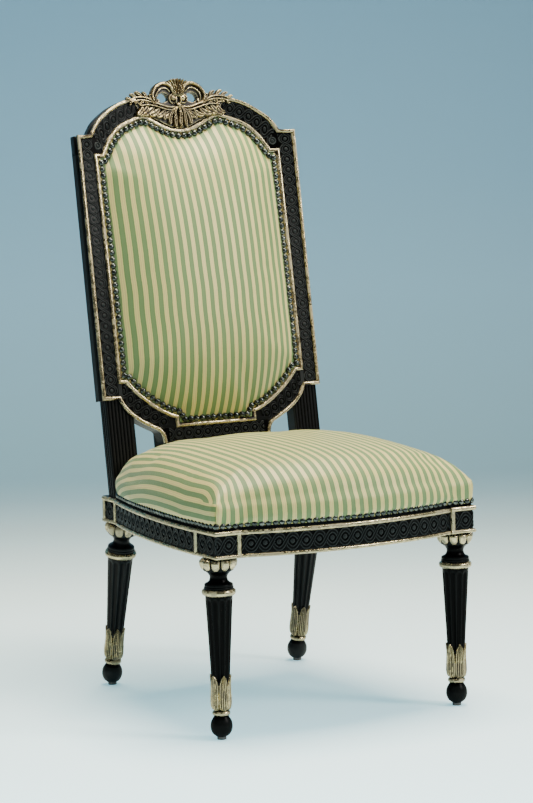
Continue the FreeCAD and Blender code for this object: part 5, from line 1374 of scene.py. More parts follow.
def cushion():
    fine = (1.2, 1.8, 2.6, 3.4, 4.4, 5.6)
    cx = 265.0
    xs = graded(-cx, cx, fine, 8.0)
    ys = graded(0.0, 468.6, fine, 8.0)
    n, m = len(xs), len(ys)
    d0 = 3.6
    A, Bb = np.meshgrid(xs / cx, ys, indexing="ij")
    # plan: each row runs between the bowed sides, each column between the bowed front and the back
    yy = Bb.copy()
    for _ in range(3):
        half = side_x(np.clip(yy, 0, 474), 0.6) - 0.6
        X = A * half
        f = cush_front(X, d0)
        yy = f + (Bb - 0.0) / 468.6 * (CUSH_BACK - f)
    # corners rounded on plan: front ones tight, back ones larger
    df = yy - cush_front(X, d0)
    dl = X + half
    dr = half - X
    db = CUSH_BACK - yy
    for (s1, s2, R, sx, sy) in ((df, dl, 9.0, -1, -1), (df, dr, 9.0, 1, -1), (db, dl, 26.0, -1, 1), (db, dr, 26.0, 1, 1)):
        a = R - s2
        b = R - s1
        inz = (a > 0) & (b > 0)
        mx = np.maximum(a, b)
        rad = np.hypot(a, b)
        k = np.where(inz, mx / np.maximum(rad, 1e-9), 1.0)
        X = np.where(inz, X + sx * (a * k - a), X)
        yy = np.where(inz, yy + sy * (b * k - b), yy)
    # height from the distances to the edges: one high even crown
    half = side_x(np.clip(yy, 0, 474), 0.6) - 0.6
    df = yy - cush_front(X, d0)
    df = np.where(Bb <= 0, 0.0, np.maximum(df, 0.0))
    ds = np.maximum(np.minimum((A + 1) * half, (1 - A) * half), 0.0)
    db = np.maximum(468.6 - Bb, 0.0)
    S = monotone(ds, PS) * monotone((268.0 - (half - ds)) * 1.0, PS) ** 0.0
    sh = smooth01(ds / 26.0) * (1 - smooth01((ds - 105.0) / 75.0))
    S = S + sh * (0.058 + 0.050 * (1 - smooth01((db - 170.0) / 170.0)))
    k = monotone(df, PF) * S * monotone(db, PB)
    Z = EDGE_Z + RISE * k ** 0.94
    top = np.stack([X, yy, Z], -1)
    # boundary loop, anticlockwise seen from above
    ii = [(i, 0) for i in range(n)] + [(n - 1, j) for j in range(1, m)] + [(i, m - 1) for i in range(n - 2, -1, -1)] + [(0, j) for j in range(m - 2, 0, -1)]
    side = ["f"] * (n - 1) + ["r"] * (m - 1) + ["b"] * (n - 1) + ["l"] * (m - 1)
    L = len(ii)
    ring = np.array([top[i, j] for i, j in ii])
    # sideways direction of the wall
    t = np.roll(ring, -1, 0)[:, :2] - np.roll(ring, 1, 0)[:, :2]
    t /= np.linalg.norm(t, axis=1)[:, None] + 1e-9
    out = np.stack([t[:, 1], -t[:, 0]], -1)
    drop = [7.0, 14.0, 21.0, 28.0, 34.0, 40.0, 45.5]
    zb = 381.4
    V = [top.reshape(-1, 3)]
    rows = []
    ztop = ring[:, 2]
    for k, dd in enumerate(drop):
        f = dd / 45.5
        z = ztop + (zb - ztop) * f
        bulge = 4.6 * math.sin(math.pi * min(1.0, 0.10 + f * 0.90)) ** 0.8 - 1.0 * f ** 3
        # the sides lean back in to the nail line, a little fuller at the rear
        lean = (3.2 * f ** 1.6 - 2.2 * math.sin(math.pi * f) * smooth01((ring[:, 1] - 250.0) / 200.0)) * np.abs(out[:, 0])
        rows.append(np.concatenate([ring[:, :2] + out * (bulge - lean)[:, None], z[:, None]], 1))
    V += rows
    # closed below
    floor_pts = []
    base = n * m
    quads = [tuple(int(v) for v in q) for q in gridf(n, m)]
    reg = ["t"] * len(quads)
    idx0 = np.array([i * m + j for i, j in ii])
    prev = idx0
    uu, vv = [], []
    # cloth measure on the top: across by arc length along each row, along by y
    du = np.linalg.norm(np.diff(top, axis=0), axis=2)
    U = np.concatenate([np.zeros((1, m)), np.cumsum(du, 0)], 0)
    mid = np.array([np.interp(0.0, A[:, j], U[:, j]) for j in range(m)])
    U = U - mid[None, :]
    # measured over the curve of each row, without the bow of its ends
    dx, dz = np.diff(X, axis=0), np.diff(Z, axis=0)
    U = np.concatenate([np.zeros((1, m)), np.cumsum(np.hypot(dx, dz), 0)], 0)
    U = U - np.array([np.interp(0.0, A[:, j], U[:, j]) for j in range(m)])[None, :]
    # at the front corners the spare width goes into the tuck, so that the side stripes stay level up to the seam
    jr = int(np.argmin(np.abs(Bb[0] - 110.0)))
    spare = np.where(Bb[0] < 110.0, np.maximum(np.abs(U[0, jr]) - np.abs(U[0]), 0.0), 0.0)[None, :]
    spare = np.sign(A) * smooth01((np.abs(A) - 0.45) / 0.5) * spare
    Us = (U + spare).reshape(-1)
    U = U + spare * smooth01(Bb / 62.0)
    dv = np.linalg.norm(np.diff(top, axis=1), axis=2)
    Vv = np.concatenate([np.zeros((n, 1)), np.cumsum(dv, 1)], 1)
    Uf, Vf = U.reshape(-1), Vv.reshape(-1)
    for q in quads:
        uu.append([Uf[i] for i in q])
        vv.append([Vf[i] for i in q])
    fall = 0.0
    cur = prev
    for k in range(len(drop)):
        nxt = base + k * L + np.arange(L)
        f0 = 0.0 if k == 0 else drop[k - 1]
        f1 = drop[k]
        for a in range(L):
            b = (a + 1) % L
            quads.append((int(cur[a]), int(cur[b]), int(nxt[b]), int(nxt[a])))
            s = side[a]
            reg.append(s)
            ua, ub = Uf[idx0[a]], Uf[idx0[b]]
            va, vb = Vf[idx0[a]], Vf[idx0[b]]
            if s in "fb":
                sg = -1 if s == "f" else 1
                uu.append([ua, ub, ub, ua])
                vv.append([va + sg * f0, vb + sg * f0, vb + sg * f1, va + sg * f1])
            else:
                sg = 1 if s == "r" else -1
                ua, ub = Us[idx0[a]], Us[idx0[b]]
                uu.append([ua + sg * f0, ub + sg * f0, ub + sg * f1, ua + sg * f1])
                vv.append([va, vb, vb, va])
        cur = nxt
    nv = base + len(drop) * L
    # bottom: a grid copied from the top, so that the piece is closed with even quads
    inner = [(i, j) for i in range(1, n - 1) for j in range(1, m - 1)]
    bid = {ij: int(cur[k]) for k, ij in enumerate(ii)}
    B = []
    for ij in inner:
        bid[ij] = nv + len(B)
        B.append((X[ij] * 0.995, yy[ij], zb))
    V.append(np.array(B))
    for i in range(n - 1):
        for j in range(m - 1):
            q = (bid[(i, j)], bid[(i, j + 1)], bid[(i + 1, j + 1)], bid[(i + 1, j)])
            quads.append(q)
            reg.append("u")
            uu.append([0, 0, 0, 0])
            vv.append([0, 0, 0, 0])
    V = np.concatenate(V)
    quads, uu, vv = np.array(quads), np.array(uu, float), np.array(vv, float)
    # one winding for the whole shell
    o_top = np.array([r == "t" for r in reg])
    if outward(V, quads) < 0:
        quads, uu, vv = quads[:, ::-1], uu[:, ::-1], vv[:, ::-1]
    nrm = np.cross(V[quads[:, 1]] - V[quads[:, 0]], V[quads[:, 2]] - V[quads[:, 0]])
    if nrm[o_top][:, 2].sum() < 0:
        raise RuntimeError("cushion faces are inside out")
    o = soft_mesh("seat_cushion", V, quads, uu, vv, M_FAB)
    bm = bmesh.new()
    bm.from_mesh(o.data)
    bmesh.ops.recalc_face_normals(bm, faces=bm.faces)
    bm.to_mesh(o.data)
    bm.free()
    pinned = np.zeros(len(V), bool)
    pinned[base + (len(drop) - 2) * L:] = True
    cornerline = {}
    for k, ij in enumerate(ii):
        if ij in ((0, 0), (n - 1, 0)):
            cornerline[ij] = [int(idx0[k])] + [base + q * L + k for q in range(len(drop))]
    print("seat cushion moved", stuff(o, pinned, 4.0, 4.0, stiff=14.0))
    c = get_co(o)
    # the cloth draws in at the walls and lifts the crown: back to the measured outline
    for k in range(-1, len(drop) - 2):
        idx = idx0 if k < 0 else base + k * L + np.arange(L)
        c[idx, :2] += out * (2.0 if k < 0 else 3.6)
    h_ = np.clip((c[:n * m, 2] - EDGE_Z) / RISE, 0, 1.2)
    c[:n * m, 2] -= 5.4 * h_ ** 3
    # front corner seams: the folded edge is drawn in below the shoulder
    for ij, line in cornerline.items():
        sg = -1 if ij[0] == 0 else 1
        for k, vi in enumerate(line):
            if k == 0:
                continue
            w = 2.6 * math.sin(math.pi * min(1.0, k / (len(line) - 1.0) * 0.9 + 0.1))
            c[vi, 0] -= sg * w
            c[vi, 1] += w
            # the front piece is folded over the side piece: its edge stands proud
            for q_, a_ in ((1, 1.0), (2, 0.8), (3, 0.4)):
                c[vi - sg * q_, 1] -= a_ * w / 2.6
                c[vi - sg * q_, 0] += sg * 0.6 * a_ * w / 2.6
    # the cloth dips between the nails
    for k in (len(drop) - 3, len(drop) - 2):
        idx = base + k * L + np.arange(L)
        s = lengths(c[idx])
        amp = 0.55 if k == len(drop) - 2 else 0.3
        c[idx, :2] += out * (amp * np.cos(2 * math.pi * s / 12.5))[:, None]
    set_co(o, c)
    subdivided(o)
    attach(o, "root")
    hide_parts("seat_cover", "seat_padding")
    return o


cushion()


def tongue():
    """The back of the seat, pulled down over the rear rail between the posts."""
    xs = graded(-166.6, 166.6, (1.5, 2.5, 4.0), 8.0)
    ys = np.array([452.0, 460.0, 468.0, 476.0, 484.0, 492.0, 500.0, 507.0, 513.0, 518.0, 521.5, 523.8, 524.9])
    X, Y = np.meshgrid(xs, ys, indexing="ij")
    e = np.minimum(166.6 - np.abs(X), 60)
    b = np.clip((Y - 452.0) / 73.0, 0, 1)
    Z = 447.0 - 21.0 * b ** 1.2 - 10.0 * np.clip(1 - (524.9 - Y) / 14.0, 0, 1) ** 2.2 - 3.0 * np.exp(-e / 5.0)
    top = np.stack([X, Y, Z], -1)
    n, m = X.shape
    rows = [top]
    low = []
    for zz in (409.0, 402.0, 395.2):
        low.append(np.stack([xs, np.full(n, 525.3), np.full(n, zz)], -1))
    F = np.concatenate([top, np.stack(low, 1)], 1)
    n, m = F.shape[:2]
    V = F.reshape(-1, 3)
    Bt = F.copy()
    Bt[:, :, 2] = 394.6
    Bt[:, :, 1] = np.minimum(Bt[:, :, 1], 523.0 - (np.arange(m)[::-1] * 0.0))
    Bt[:, -1, 1] = 525.3
    Bt[:, -2, 1] = 524.9
    Bt[:, -3, 1] = 524.5
    g = gridf(n, m)
    quads = [tuple(q) for q in g]
    off = n * m
    V = np.concatenate([V, Bt.reshape(-1, 3)])
    quads += [tuple(q[::-1] + off) for q in g]
    loop = [i * m for i in range(n)] + [(n - 1) * m + j for j in range(1, m)] + [i * m + m - 1 for i in range(n - 2, -1, -1)] + [j for j in range(m - 2, 0, -1)]
    for a in range(len(loop)):
        b = (a + 1) % len(loop)
        quads.append((loop[a], loop[a] + off, loop[b] + off, loop[b]))
    quads = np.array(quads)
    if outward(V, quads) < 0:
        quads = quads[:, ::-1]
    uu = V[quads][:, :, 0] * 1.006
    vv = V[quads][:, :, 1] + (430.0 - V[quads][:, :, 2])
    o = soft_mesh("seat_cover_rear_turn", V, quads, uu, vv, M_FAB)
    bm = bmesh.new()
    bm.from_mesh(o.data)
    bmesh.ops.recalc_face_normals(bm, faces=bm.faces)
    bm.to_mesh(o.data)
    bm.free()
    o.data.set_sharp_from_angle(angle=math.radians(50))
    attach(o, "root")


tongue()

# ------------------------------------------------------------------ dome nails
def nail_rows(geo, pts, nrm, r=6.05, high=4.3, seed=1):
    """Dome nails with a thin rim, each leaning its own way a little."""
    rs = np.random.RandomState(seed)
    prof = [(0.0, 1.0), (0.24, 0.975), (0.46, 0.90), (0.66, 0.77), (0.82, 0.59), (0.93, 0.36), (0.985, 0.14), (1.0, 0.0), (1.0, -0.30)]
    k = 20
    th = np.arange(k) / k * 2 * math.pi
    for P, N in zip(pts, nrm):
        N = N / np.linalg.norm(N)
        tilt = rs.normal(0, 0.055, 3)
        N = N + tilt
        N /= np.linalg.norm(N)
        a = np.cross(N, [0, 0, 1.0])
        if np.linalg.norm(a) < 0.1:
            a = np.cross(N, [1.0, 0, 0])
        a /= np.linalg.norm(a)
        b = np.cross(N, a)
        rr = r * (1 + rs.normal(0, 0.012))
        hh = high * (1 + rs.normal(0, 0.04))
        P = P + a * rs.normal(0, 0.22) + b * rs.normal(0, 0.22)
        V = [P + N * hh]
        for f, h in prof[1:]:
            ring = P + N * (h * hh) + (np.cos(th)[:, None] * a + np.sin(th)[:, None] * b) * (f * rr)
            V.append(ring)
        V = np.concatenate([np.atleast_2d(V[0])] + V[1:])
        m = len(prof) - 1
        gons = [[0, 1 + j, 1 + (j + 1) % k] for j in range(k)]
        qs = []
        for i in range(m - 1):
            for j in range(k):
                qs.append((1 + i * k + j, 1 + (i + 1) * k + j, 1 + (i + 1) * k + (j + 1) % k, 1 + i * k + (j + 1) % k))
        gons.append([1 + (m - 1) * k + j for j in range(k)][::-1])
        # triangles and quads must share one winding
        gons = [[g[0], g[2], g[1]] if len(g) == 3 else g for g in gons]
        geo.add(V, np.array(qs)[:, ::-1] if False else qs, [[g[0], g[2], g[1]] if len(g) == 3 else g for g in gons])


def seat_nail_line():
    xs = np.linspace(0.0, XA, 120)
    P = [(x, float(cush_front(x, 3.1))) for x in xs]
    cx = float(side_x(3.1, 3.1))
    P += [(x, 3.3) for x in np.linspace(XA + 4, cx - 3.4, 16)]
    P += [(cx - 1.4, 4.0), (cx - 0.3, 5.6)]
    P += [(float(side_x(y, 3.1)), y) for y in np.linspace(8.0, 463.0, 150)]
    return np.array(P)


line = seat_nail_line()
s = lengths(line)
pitch = 12.5
k = int(s[-1] // pitch)
nails = Geo()
pts, nrm = [], []
g = (np.arange(k) + 0.5) * (s[-1] / k)
for sg in (1, -1):
    x = np.interp(g, s, line[:, 0])
    y = np.interp(g, s, line[:, 1])
    x2_ = np.interp(g + 0.5, s, line[:, 0])
    y2_ = np.interp(g + 0.5, s, line[:, 1])
    for a, b, c_, d_ in zip(x, y, x2_, y2_):
        t_ = np.array([c_ - a, d_ - b])
        t_ /= np.linalg.norm(t_) + 1e-9
        nn = np.array([t_[1], -t_[0], 0.12])
        pts.append(np.array([sg * a, b, 386.6]) - np.array([sg * nn[0], nn[1], 0]) * 0.2)
        nrm.append(np.array([sg * nn[0], nn[1], nn[2]]))
nail_rows(nails, pts, nrm, seed=5)
nails.obj("seat_dome_nails", M_NAIL, "nail_metal", ("seat_nails",), angle=30.0)

# ------------------------------------------------------------------ back pad
TOPLINE = np.array([(0.0, 700.5), (19.5, 703.0), (38.5, 709.7), (58.0, 719.5), (76.0, 728.0), (83.0, 729.5), (93.0, 727.0), (107.5, 721.5), (126.5, 714.0), (143.5, 704.0), (153.0, 694.0), (162.0, 684.0), (181.5, 653.0), (195.5, 653.0)])
BOTLINE = np.array([(0.0, 133.0), (79.5, 133.0), (80.5, 149.2), (84.0, 150.0), (100.0, 156.0), (120.0, 167.0), (140.0, 181.0), (160.0, 198.0), (174.0, 213.0), (184.0, 224.5), (195.5, 224.5)])
_top = spline(TOPLINE[:-1], 3.0)
TOPF = np.concatenate([_top, [(195.5, 653.0)]])
_bot = spline(BOTLINE[2:-1], 3.0)
BOTF = np.concatenate([BOTLINE[:2], _bot, [(195.5, 224.5)]])
OPENING = np.concatenate([BOTF, TOPF[::-1]])
OPENING = np.concatenate([OPENING, mirror_u(OPENING)[::-1][1:-1]])


def edge_distance(P, poly):
    """Distance of each (u, l) from a closed line."""
    P = np.asarray(P, float)
    best = np.full(len(P), 1e9)
    for a, b in zip(poly, np.roll(poly, -1, 0)):
        ab = b - a
        t = np.clip(((P - a) @ ab) / max(ab @ ab, 1e-9), 0, 1)
        best = np.minimum(best, np.linalg.norm(P - (a + t[:, None] * ab), axis=1))
    return best


def back_pad():
    e = 0.6
    um = 195.5 - e
    uh = np.unique(np.concatenate([graded(0.0, 78.0, (), 7.6)[:], [79.3, 80.7], graded(82.5, um, (), 7.6), um - np.cumsum([1.4, 2.2, 3.2])]))
    uh = uh[(uh >= 0)]
    us = np.concatenate([-uh[::-1][:-1], uh])
    m_edge = (1.4, 2.0, 2.8, 3.8, 5.0, 6.0)
    cols = []
    for u in us:
        a = float(np.interp(abs(u), BOTF[:, 0], BOTF[:, 1])) + e
        b = float(np.interp(abs(u), TOPF[:, 0], TOPF[:, 1])) - e
        frac = graded(0.0, 520.0, m_edge, 8.0) / 520.0
        cols.append(np.stack([np.full(len(frac), u), a + (b - a) * frac], -1))
    G = np.stack(cols, 0)
    n, m = G.shape[:2]
    P = G.reshape(-1, 2)
    dist = edge_distance(P, OPENING).reshape(n, m)
    U, Lr = G[..., 0], G[..., 1]
    rise = 34.0 * (1 - np.exp(-np.maximum(dist - 12.2, 0) / 31.0))
    dome = np.clip(1 - (U / 198.0) ** 2, 0, 1) ** 0.9 * np.clip(1 - np.abs((Lr - 425.0) / 305.0) ** 2.2, 0, 1)
    T = 1.2 - rise - 15.0 * dome * smooth01((dist - 12.0) / 70.0)
    T = T + dip(U, Lr)
    front = back(U, T, Lr)
    thick = 12.0
    backp = back(U, dip(U, Lr) + thick, Lr)
    V = np.concatenate([front.reshape(-1, 3), backp.reshape(-1, 3)])
    gq = gridf(n, m)
    off = n * m
    quads = [tuple(q) for q in gq] + [tuple(q[::-1] + off) for q in gq]
    loop = [i * m for i in range(n)] + [(n - 1) * m + j for j in range(1, m)] + [i * m + m - 1 for i in range(n - 2, -1, -1)] + [j for j in range(m - 2, 0, -1)]
    for a in range(len(loop)):
        b = (a + 1) % len(loop)
        quads.append((loop[a], loop[b], loop[b] + off, loop[a] + off))
    quads = np.array(quads, int)
    if outward(V, quads) < 0:
        quads = quads[:, ::-1]
    uv = np.concatenate([G.reshape(-1, 2), G.reshape(-1, 2)])
    # the cloth is a touch longer over the crown than its width on plan
    bow = 1.0 + 0.004 * np.sin(uv[:, 1] / 130.0)
    uu = (uv[:, 0] * 0.997 * bow + 1.2 * wob(uv[:, 1] / 60.0, 77, 1.0))[quads]
    vv = uv[:, 1][quads]
    o = soft_mesh("back_pad", V, quads, uu, vv, M_FAB)
    bm = bmesh.new()
    bm.from_mesh(o.data)
    bmesh.ops.recalc_face_normals(bm, faces=bm.faces)
    bm.to_mesh(o.data)
    bm.free()
    pinned = np.ones(len(V), bool)
    pinned[:off] = (dist < 13.5).reshape(-1)
    print("back pad moved", stuff(o, pinned, 4.0, 4.0, stiff=14.0))
    c = get_co(o)
    # slight pulls at the nails
    dd = np.concatenate([dist.reshape(-1), np.full(off, 99.0)])
    ang = np.concatenate([(np.arctan2(Lr - 430.0, U) * 1.0).reshape(-1), np.zeros(off)])
    pull = np.exp(-((dd - 17.0) / 7.0) ** 2)
    nvec = np.array([0.0, CR, -SR])
    s_along = np.concatenate([(U * 0.8 + Lr).reshape(-1), np.zeros(off)])
    c += nvec * (0.35 * pull * np.sin(2 * math.pi * s_along / 12.5))[:, None]
    # and gathers that fan out below the two peaks of the frame
    for sg in (-1, 1):
        du, dl = U - sg * 83.0, Lr - 740.0
        rr, th = np.hypot(du, dl), np.arctan2(dl, du)
        f_ = 1.3 * np.sin(5.5 * th + 0.7 * sg) * np.exp(-((rr - 45.0) / 30.0) ** 2) * smooth01((dist - 10.0) / 12.0)
        c[:off] += nvec * f_.reshape(-1)[:, None]
    set_co(o, c)
    subdivided(o)
    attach(o, "root")
    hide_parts("back_cover", "back_padding")


back_pad()

# nails round the back pad
ins = []
for sg in (1,):
    half = np.concatenate([BOTF[:-1], np.stack([np.full(140, 195.5), np.linspace(224.5, 653.0, 140)], -1), TOPF[::-1][1:]])
half = half[np.concatenate([[True], np.linalg.norm(np.diff(half, axis=0), axis=1) > 0.3])]


def inset_line(P, d):
    """The half outline drawn in by d, found on the level line of the distance field."""
    Q = offset2(P, d)
    dist = edge_distance(Q, OPENING)
    Q = Q[dist > d - 0.35]
    return Q


nl = inset_line(half, 6.9)
nl = nl[nl[:, 0] >= -0.01]
nl = np.concatenate([[(0.0, nl[0, 1])], nl, [(0.0, nl[-1, 1])]])
s = lengths(nl)
k = int(round(s[-1] / 12.45))
g = (np.arange(k) + 0.5) * s[-1] / k
bn = Geo()
pts, nrm = [], []
for sg in (1, -1):
    u = np.interp(g, s, nl[:, 0])
    l = np.interp(g, s, nl[:, 1])
    base = pbk(np.stack([sg * u, l], -1), -0.9)
    # the heads face out of the dished front
    e1 = pbk(np.stack([sg * u + 1.0, l], -1), -0.9) - base
    e2 = pbk(np.stack([sg * u, l + 1.0], -1), -0.9) - base
    nn = np.cross(e1, e2)
    for a, b in zip(base, nn):
        if b[1] > 0:
            b = -b
        pts.append(a)
        nrm.append(b)
nail_rows(bn, pts, nrm, seed=9)
bn.obj("back_dome_nails", M_NAIL, "nail_metal", ("back_nails",), angle=30.0)

# ------------------------------------------------------------------ outside back
def outside_back():
    um = 194.6
    us = graded(-um, um, (1.0, 1.6, 2.4), 9.0)
    cols = []
    for u in us:
        a = float(np.interp(abs(u), BOTF[:, 0], BOTF[:, 1])) - 4.0
        b = float(np.interp(abs(u), TOPF[:, 0], TOPF[:, 1])) + 4.0
        frac = graded(0.0, 520.0, (1.4, 2.0, 3.0), 10.0) / 520.0
        cols.append(np.stack([np.full(len(frac), u), a + (b - a) * frac], -1))
    G = np.stack(cols, 0)
    n, m = G.shape[:2]
    U, Lr = G[..., 0], G[..., 1]
    i = np.arange(n)[:, None] * np.ones((1, m))
    j = np.arange(m)[None, :] * np.ones((n, 1))
    ed = np.minimum(np.minimum(um - np.abs(U), (Lr - Lr[:, :1])), (Lr[:, -1:] - Lr))
    T = dip(U, Lr) + 32.0 + 2.6 * (1 - np.exp(-np.maximum(ed, 0) / 3.0)) + 1.8 * (1 - (U / 200.0) ** 2) * np.clip(1 - ((Lr - 430) / 320.0) ** 2, 0, 1)
    T = T + 0.25 * wob(U / 40.0, 3, 1.0) * wob(Lr / 90.0, 4, 1.0)
    out = back(U, T, Lr)
    inn = back(U, dip(U, Lr) + 28.5, Lr)
    V = np.concatenate([out.reshape(-1, 3), inn.reshape(-1, 3)])
    gq = gridf(n, m)
    off = n * m
    quads = [tuple(q) for q in gq] + [tuple(q[::-1] + off) for q in gq]
    loop = [a * m for a in range(n)] + [(n - 1) * m + b for b in range(1, m)] + [a * m + m - 1 for a in range(n - 2, -1, -1)] + [b for b in range(m - 2, 0, -1)]
    for a in range(len(loop)):
        b = (a + 1) % len(loop)
        quads.append((loop[a], loop[b], loop[b] + off, loop[a] + off))
    quads = np.array(quads, int)
    if outward(V, quads) < 0:
        quads = quads[:, ::-1]
    uv = np.concatenate([G.reshape(-1, 2), G.reshape(-1, 2)])
    o = soft_mesh("outside_back_cover", V, quads, (uv[:, 0] * 1.01)[quads], uv[:, 1][quads], M_FAB)
    bm = bmesh.new()
    bm.from_mesh(o.data)
    bmesh.ops.recalc_face_normals(bm, faces=bm.faces)
    bm.to_mesh(o.data)
    bm.free()
    o.data.set_sharp_from_angle(angle=math.radians(60))
    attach(o, "root")
    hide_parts("outside_back")


outside_back()


# ------------------------------------------------------------------ crest carving
def leaf(geo, pts, width, high, t0, deep=5.0, lobes=0, vein=0.9, ribs=0, skew=0.55, tip=0.12, step=1.1, tilt=0.0, curl=0.0, m=15, groove=0.0):
    """A carved leaf or stem along a line of (u, l): rounded, with a middle vein, side lobes or ribs.
    width: list of (part of the run, half width). t0: depth of its foot from the dished front, negative stands proud. curl lifts the tip."""
    P = spline(pts, step)
    s = lengths(P)
    f = s / s[-1]
    wv = np.interp(f, [a for a, _ in width], [b for _, b in width])
    hv = high * np.interp(f, [0.0, 0.12, 0.7, 1.0], [0.75, 1.0, 0.95, tip + 0.35])
    xs = np.linspace(-1, 1, m)
    nl_, nr_ = offset2(P, 1.0) - P, P
    rows = []
    for x in xs:
        ph = f * lobes - abs(x) * skew
        notch = np.abs(np.sin(math.pi * ph)) ** 0.7 if lobes else np.ones(len(P))
        w = wv * (1.0 - (0.26 * (1 - notch) if lobes else 0.0) * abs(x) ** 2)
        h = hv * np.clip(1 - abs(x) ** 2.4, 0, 1) ** 0.55 * (0.62 + 0.38 * notch if lobes else 1.0)
        h = h - vein * math.exp(-(x / 0.16) ** 2)
        if ribs:
            h = h + 0.55 * math.cos(x * math.pi * ribs) * (1 - abs(x) ** 3)
        if groove:
            h = h - groove * math.exp(-((x) / 0.30) ** 2)
        h = h + tilt * x + curl * np.clip((f - 0.6) / 0.4, 0, 1) ** 2
        rows.append(pbk(P + nl_ * (x * w)[:, None], t0 - h))
    for x in (0.96, -0.96):
        rows.append(pbk(P + nl_ * (x * wv * 0.98)[:, None], t0 + deep))
    geo.loft(np.stack(rows, 1))


def lobed(g, pts, size, n, high, sides, swing):
    """A leaf with a midrib and separate hollowed lobes that branch from it and turn to its tip."""
    P = spline(pts, 1.0)
    s_ = lengths(P)
    T = np.gradient(P, axis=0)
    T /= np.linalg.norm(T, axis=1)[:, None] + 1e-9
    for i in range(n):
        f = 0.04 + 0.86 * i / (n - 1)
        at = f * s_[-1]
        p = np.array([np.interp(at, s_, P[:, 0]), np.interp(at, s_, P[:, 1])])
        t = np.array([np.interp(at, s_, T[:, 0]), np.interp(at, s_, T[:, 1])])
        nv = np.array([-t[1], t[0]])
        z = float(np.interp(f, [a for a, _ in size], [b for _, b in size]))
        for sd in sides:
            d = math.cos(swing) * t + math.sin(swing) * sd * nv
            q = [tuple(p), tuple(p + d * z * 0.55), tuple(p + d * z * 0.92 + t * z * 0.10), tuple(p + d * z * 1.10 + t * z * 0.42)]
            leaf(g, q, [(0, 1.2), (0.3, 0.25 * z + 0.6), (0.65, 0.31 * z + 0.6), (0.9, 0.21 * z + 0.4), (1, 0.5)], high * (0.80 + 0.09 * (i % 3)), -0.6, 5, vein=0.0, groove=2.2, tip=0.6, curl=1.8)
    leaf(g, pts, [(0, 1.2), (0.4, 1.9), (0.9, 1.3), (1, 0.6)], high + 0.6, -0.6, 5, vein=0.0, tip=0.5)


def ballk(geo, u, l, t, r, sq=0.8):
    n, m = 14, 20
    th = np.linspace(0.0, math.pi, n)
    ph = np.arange(m) / m * 2 * math.pi
    P = []
    for a in th:
        rr = max(0.02, math.sin(a)) * r
        P.append(np.stack([u + rr * np.cos(ph), l + rr * np.sin(ph)], -1))
    P = np.array(P)
    V = np.array([pbk(P[i], t - math.cos(th[i]) * r * sq) for i in range(n)])
    geo.loft(V)


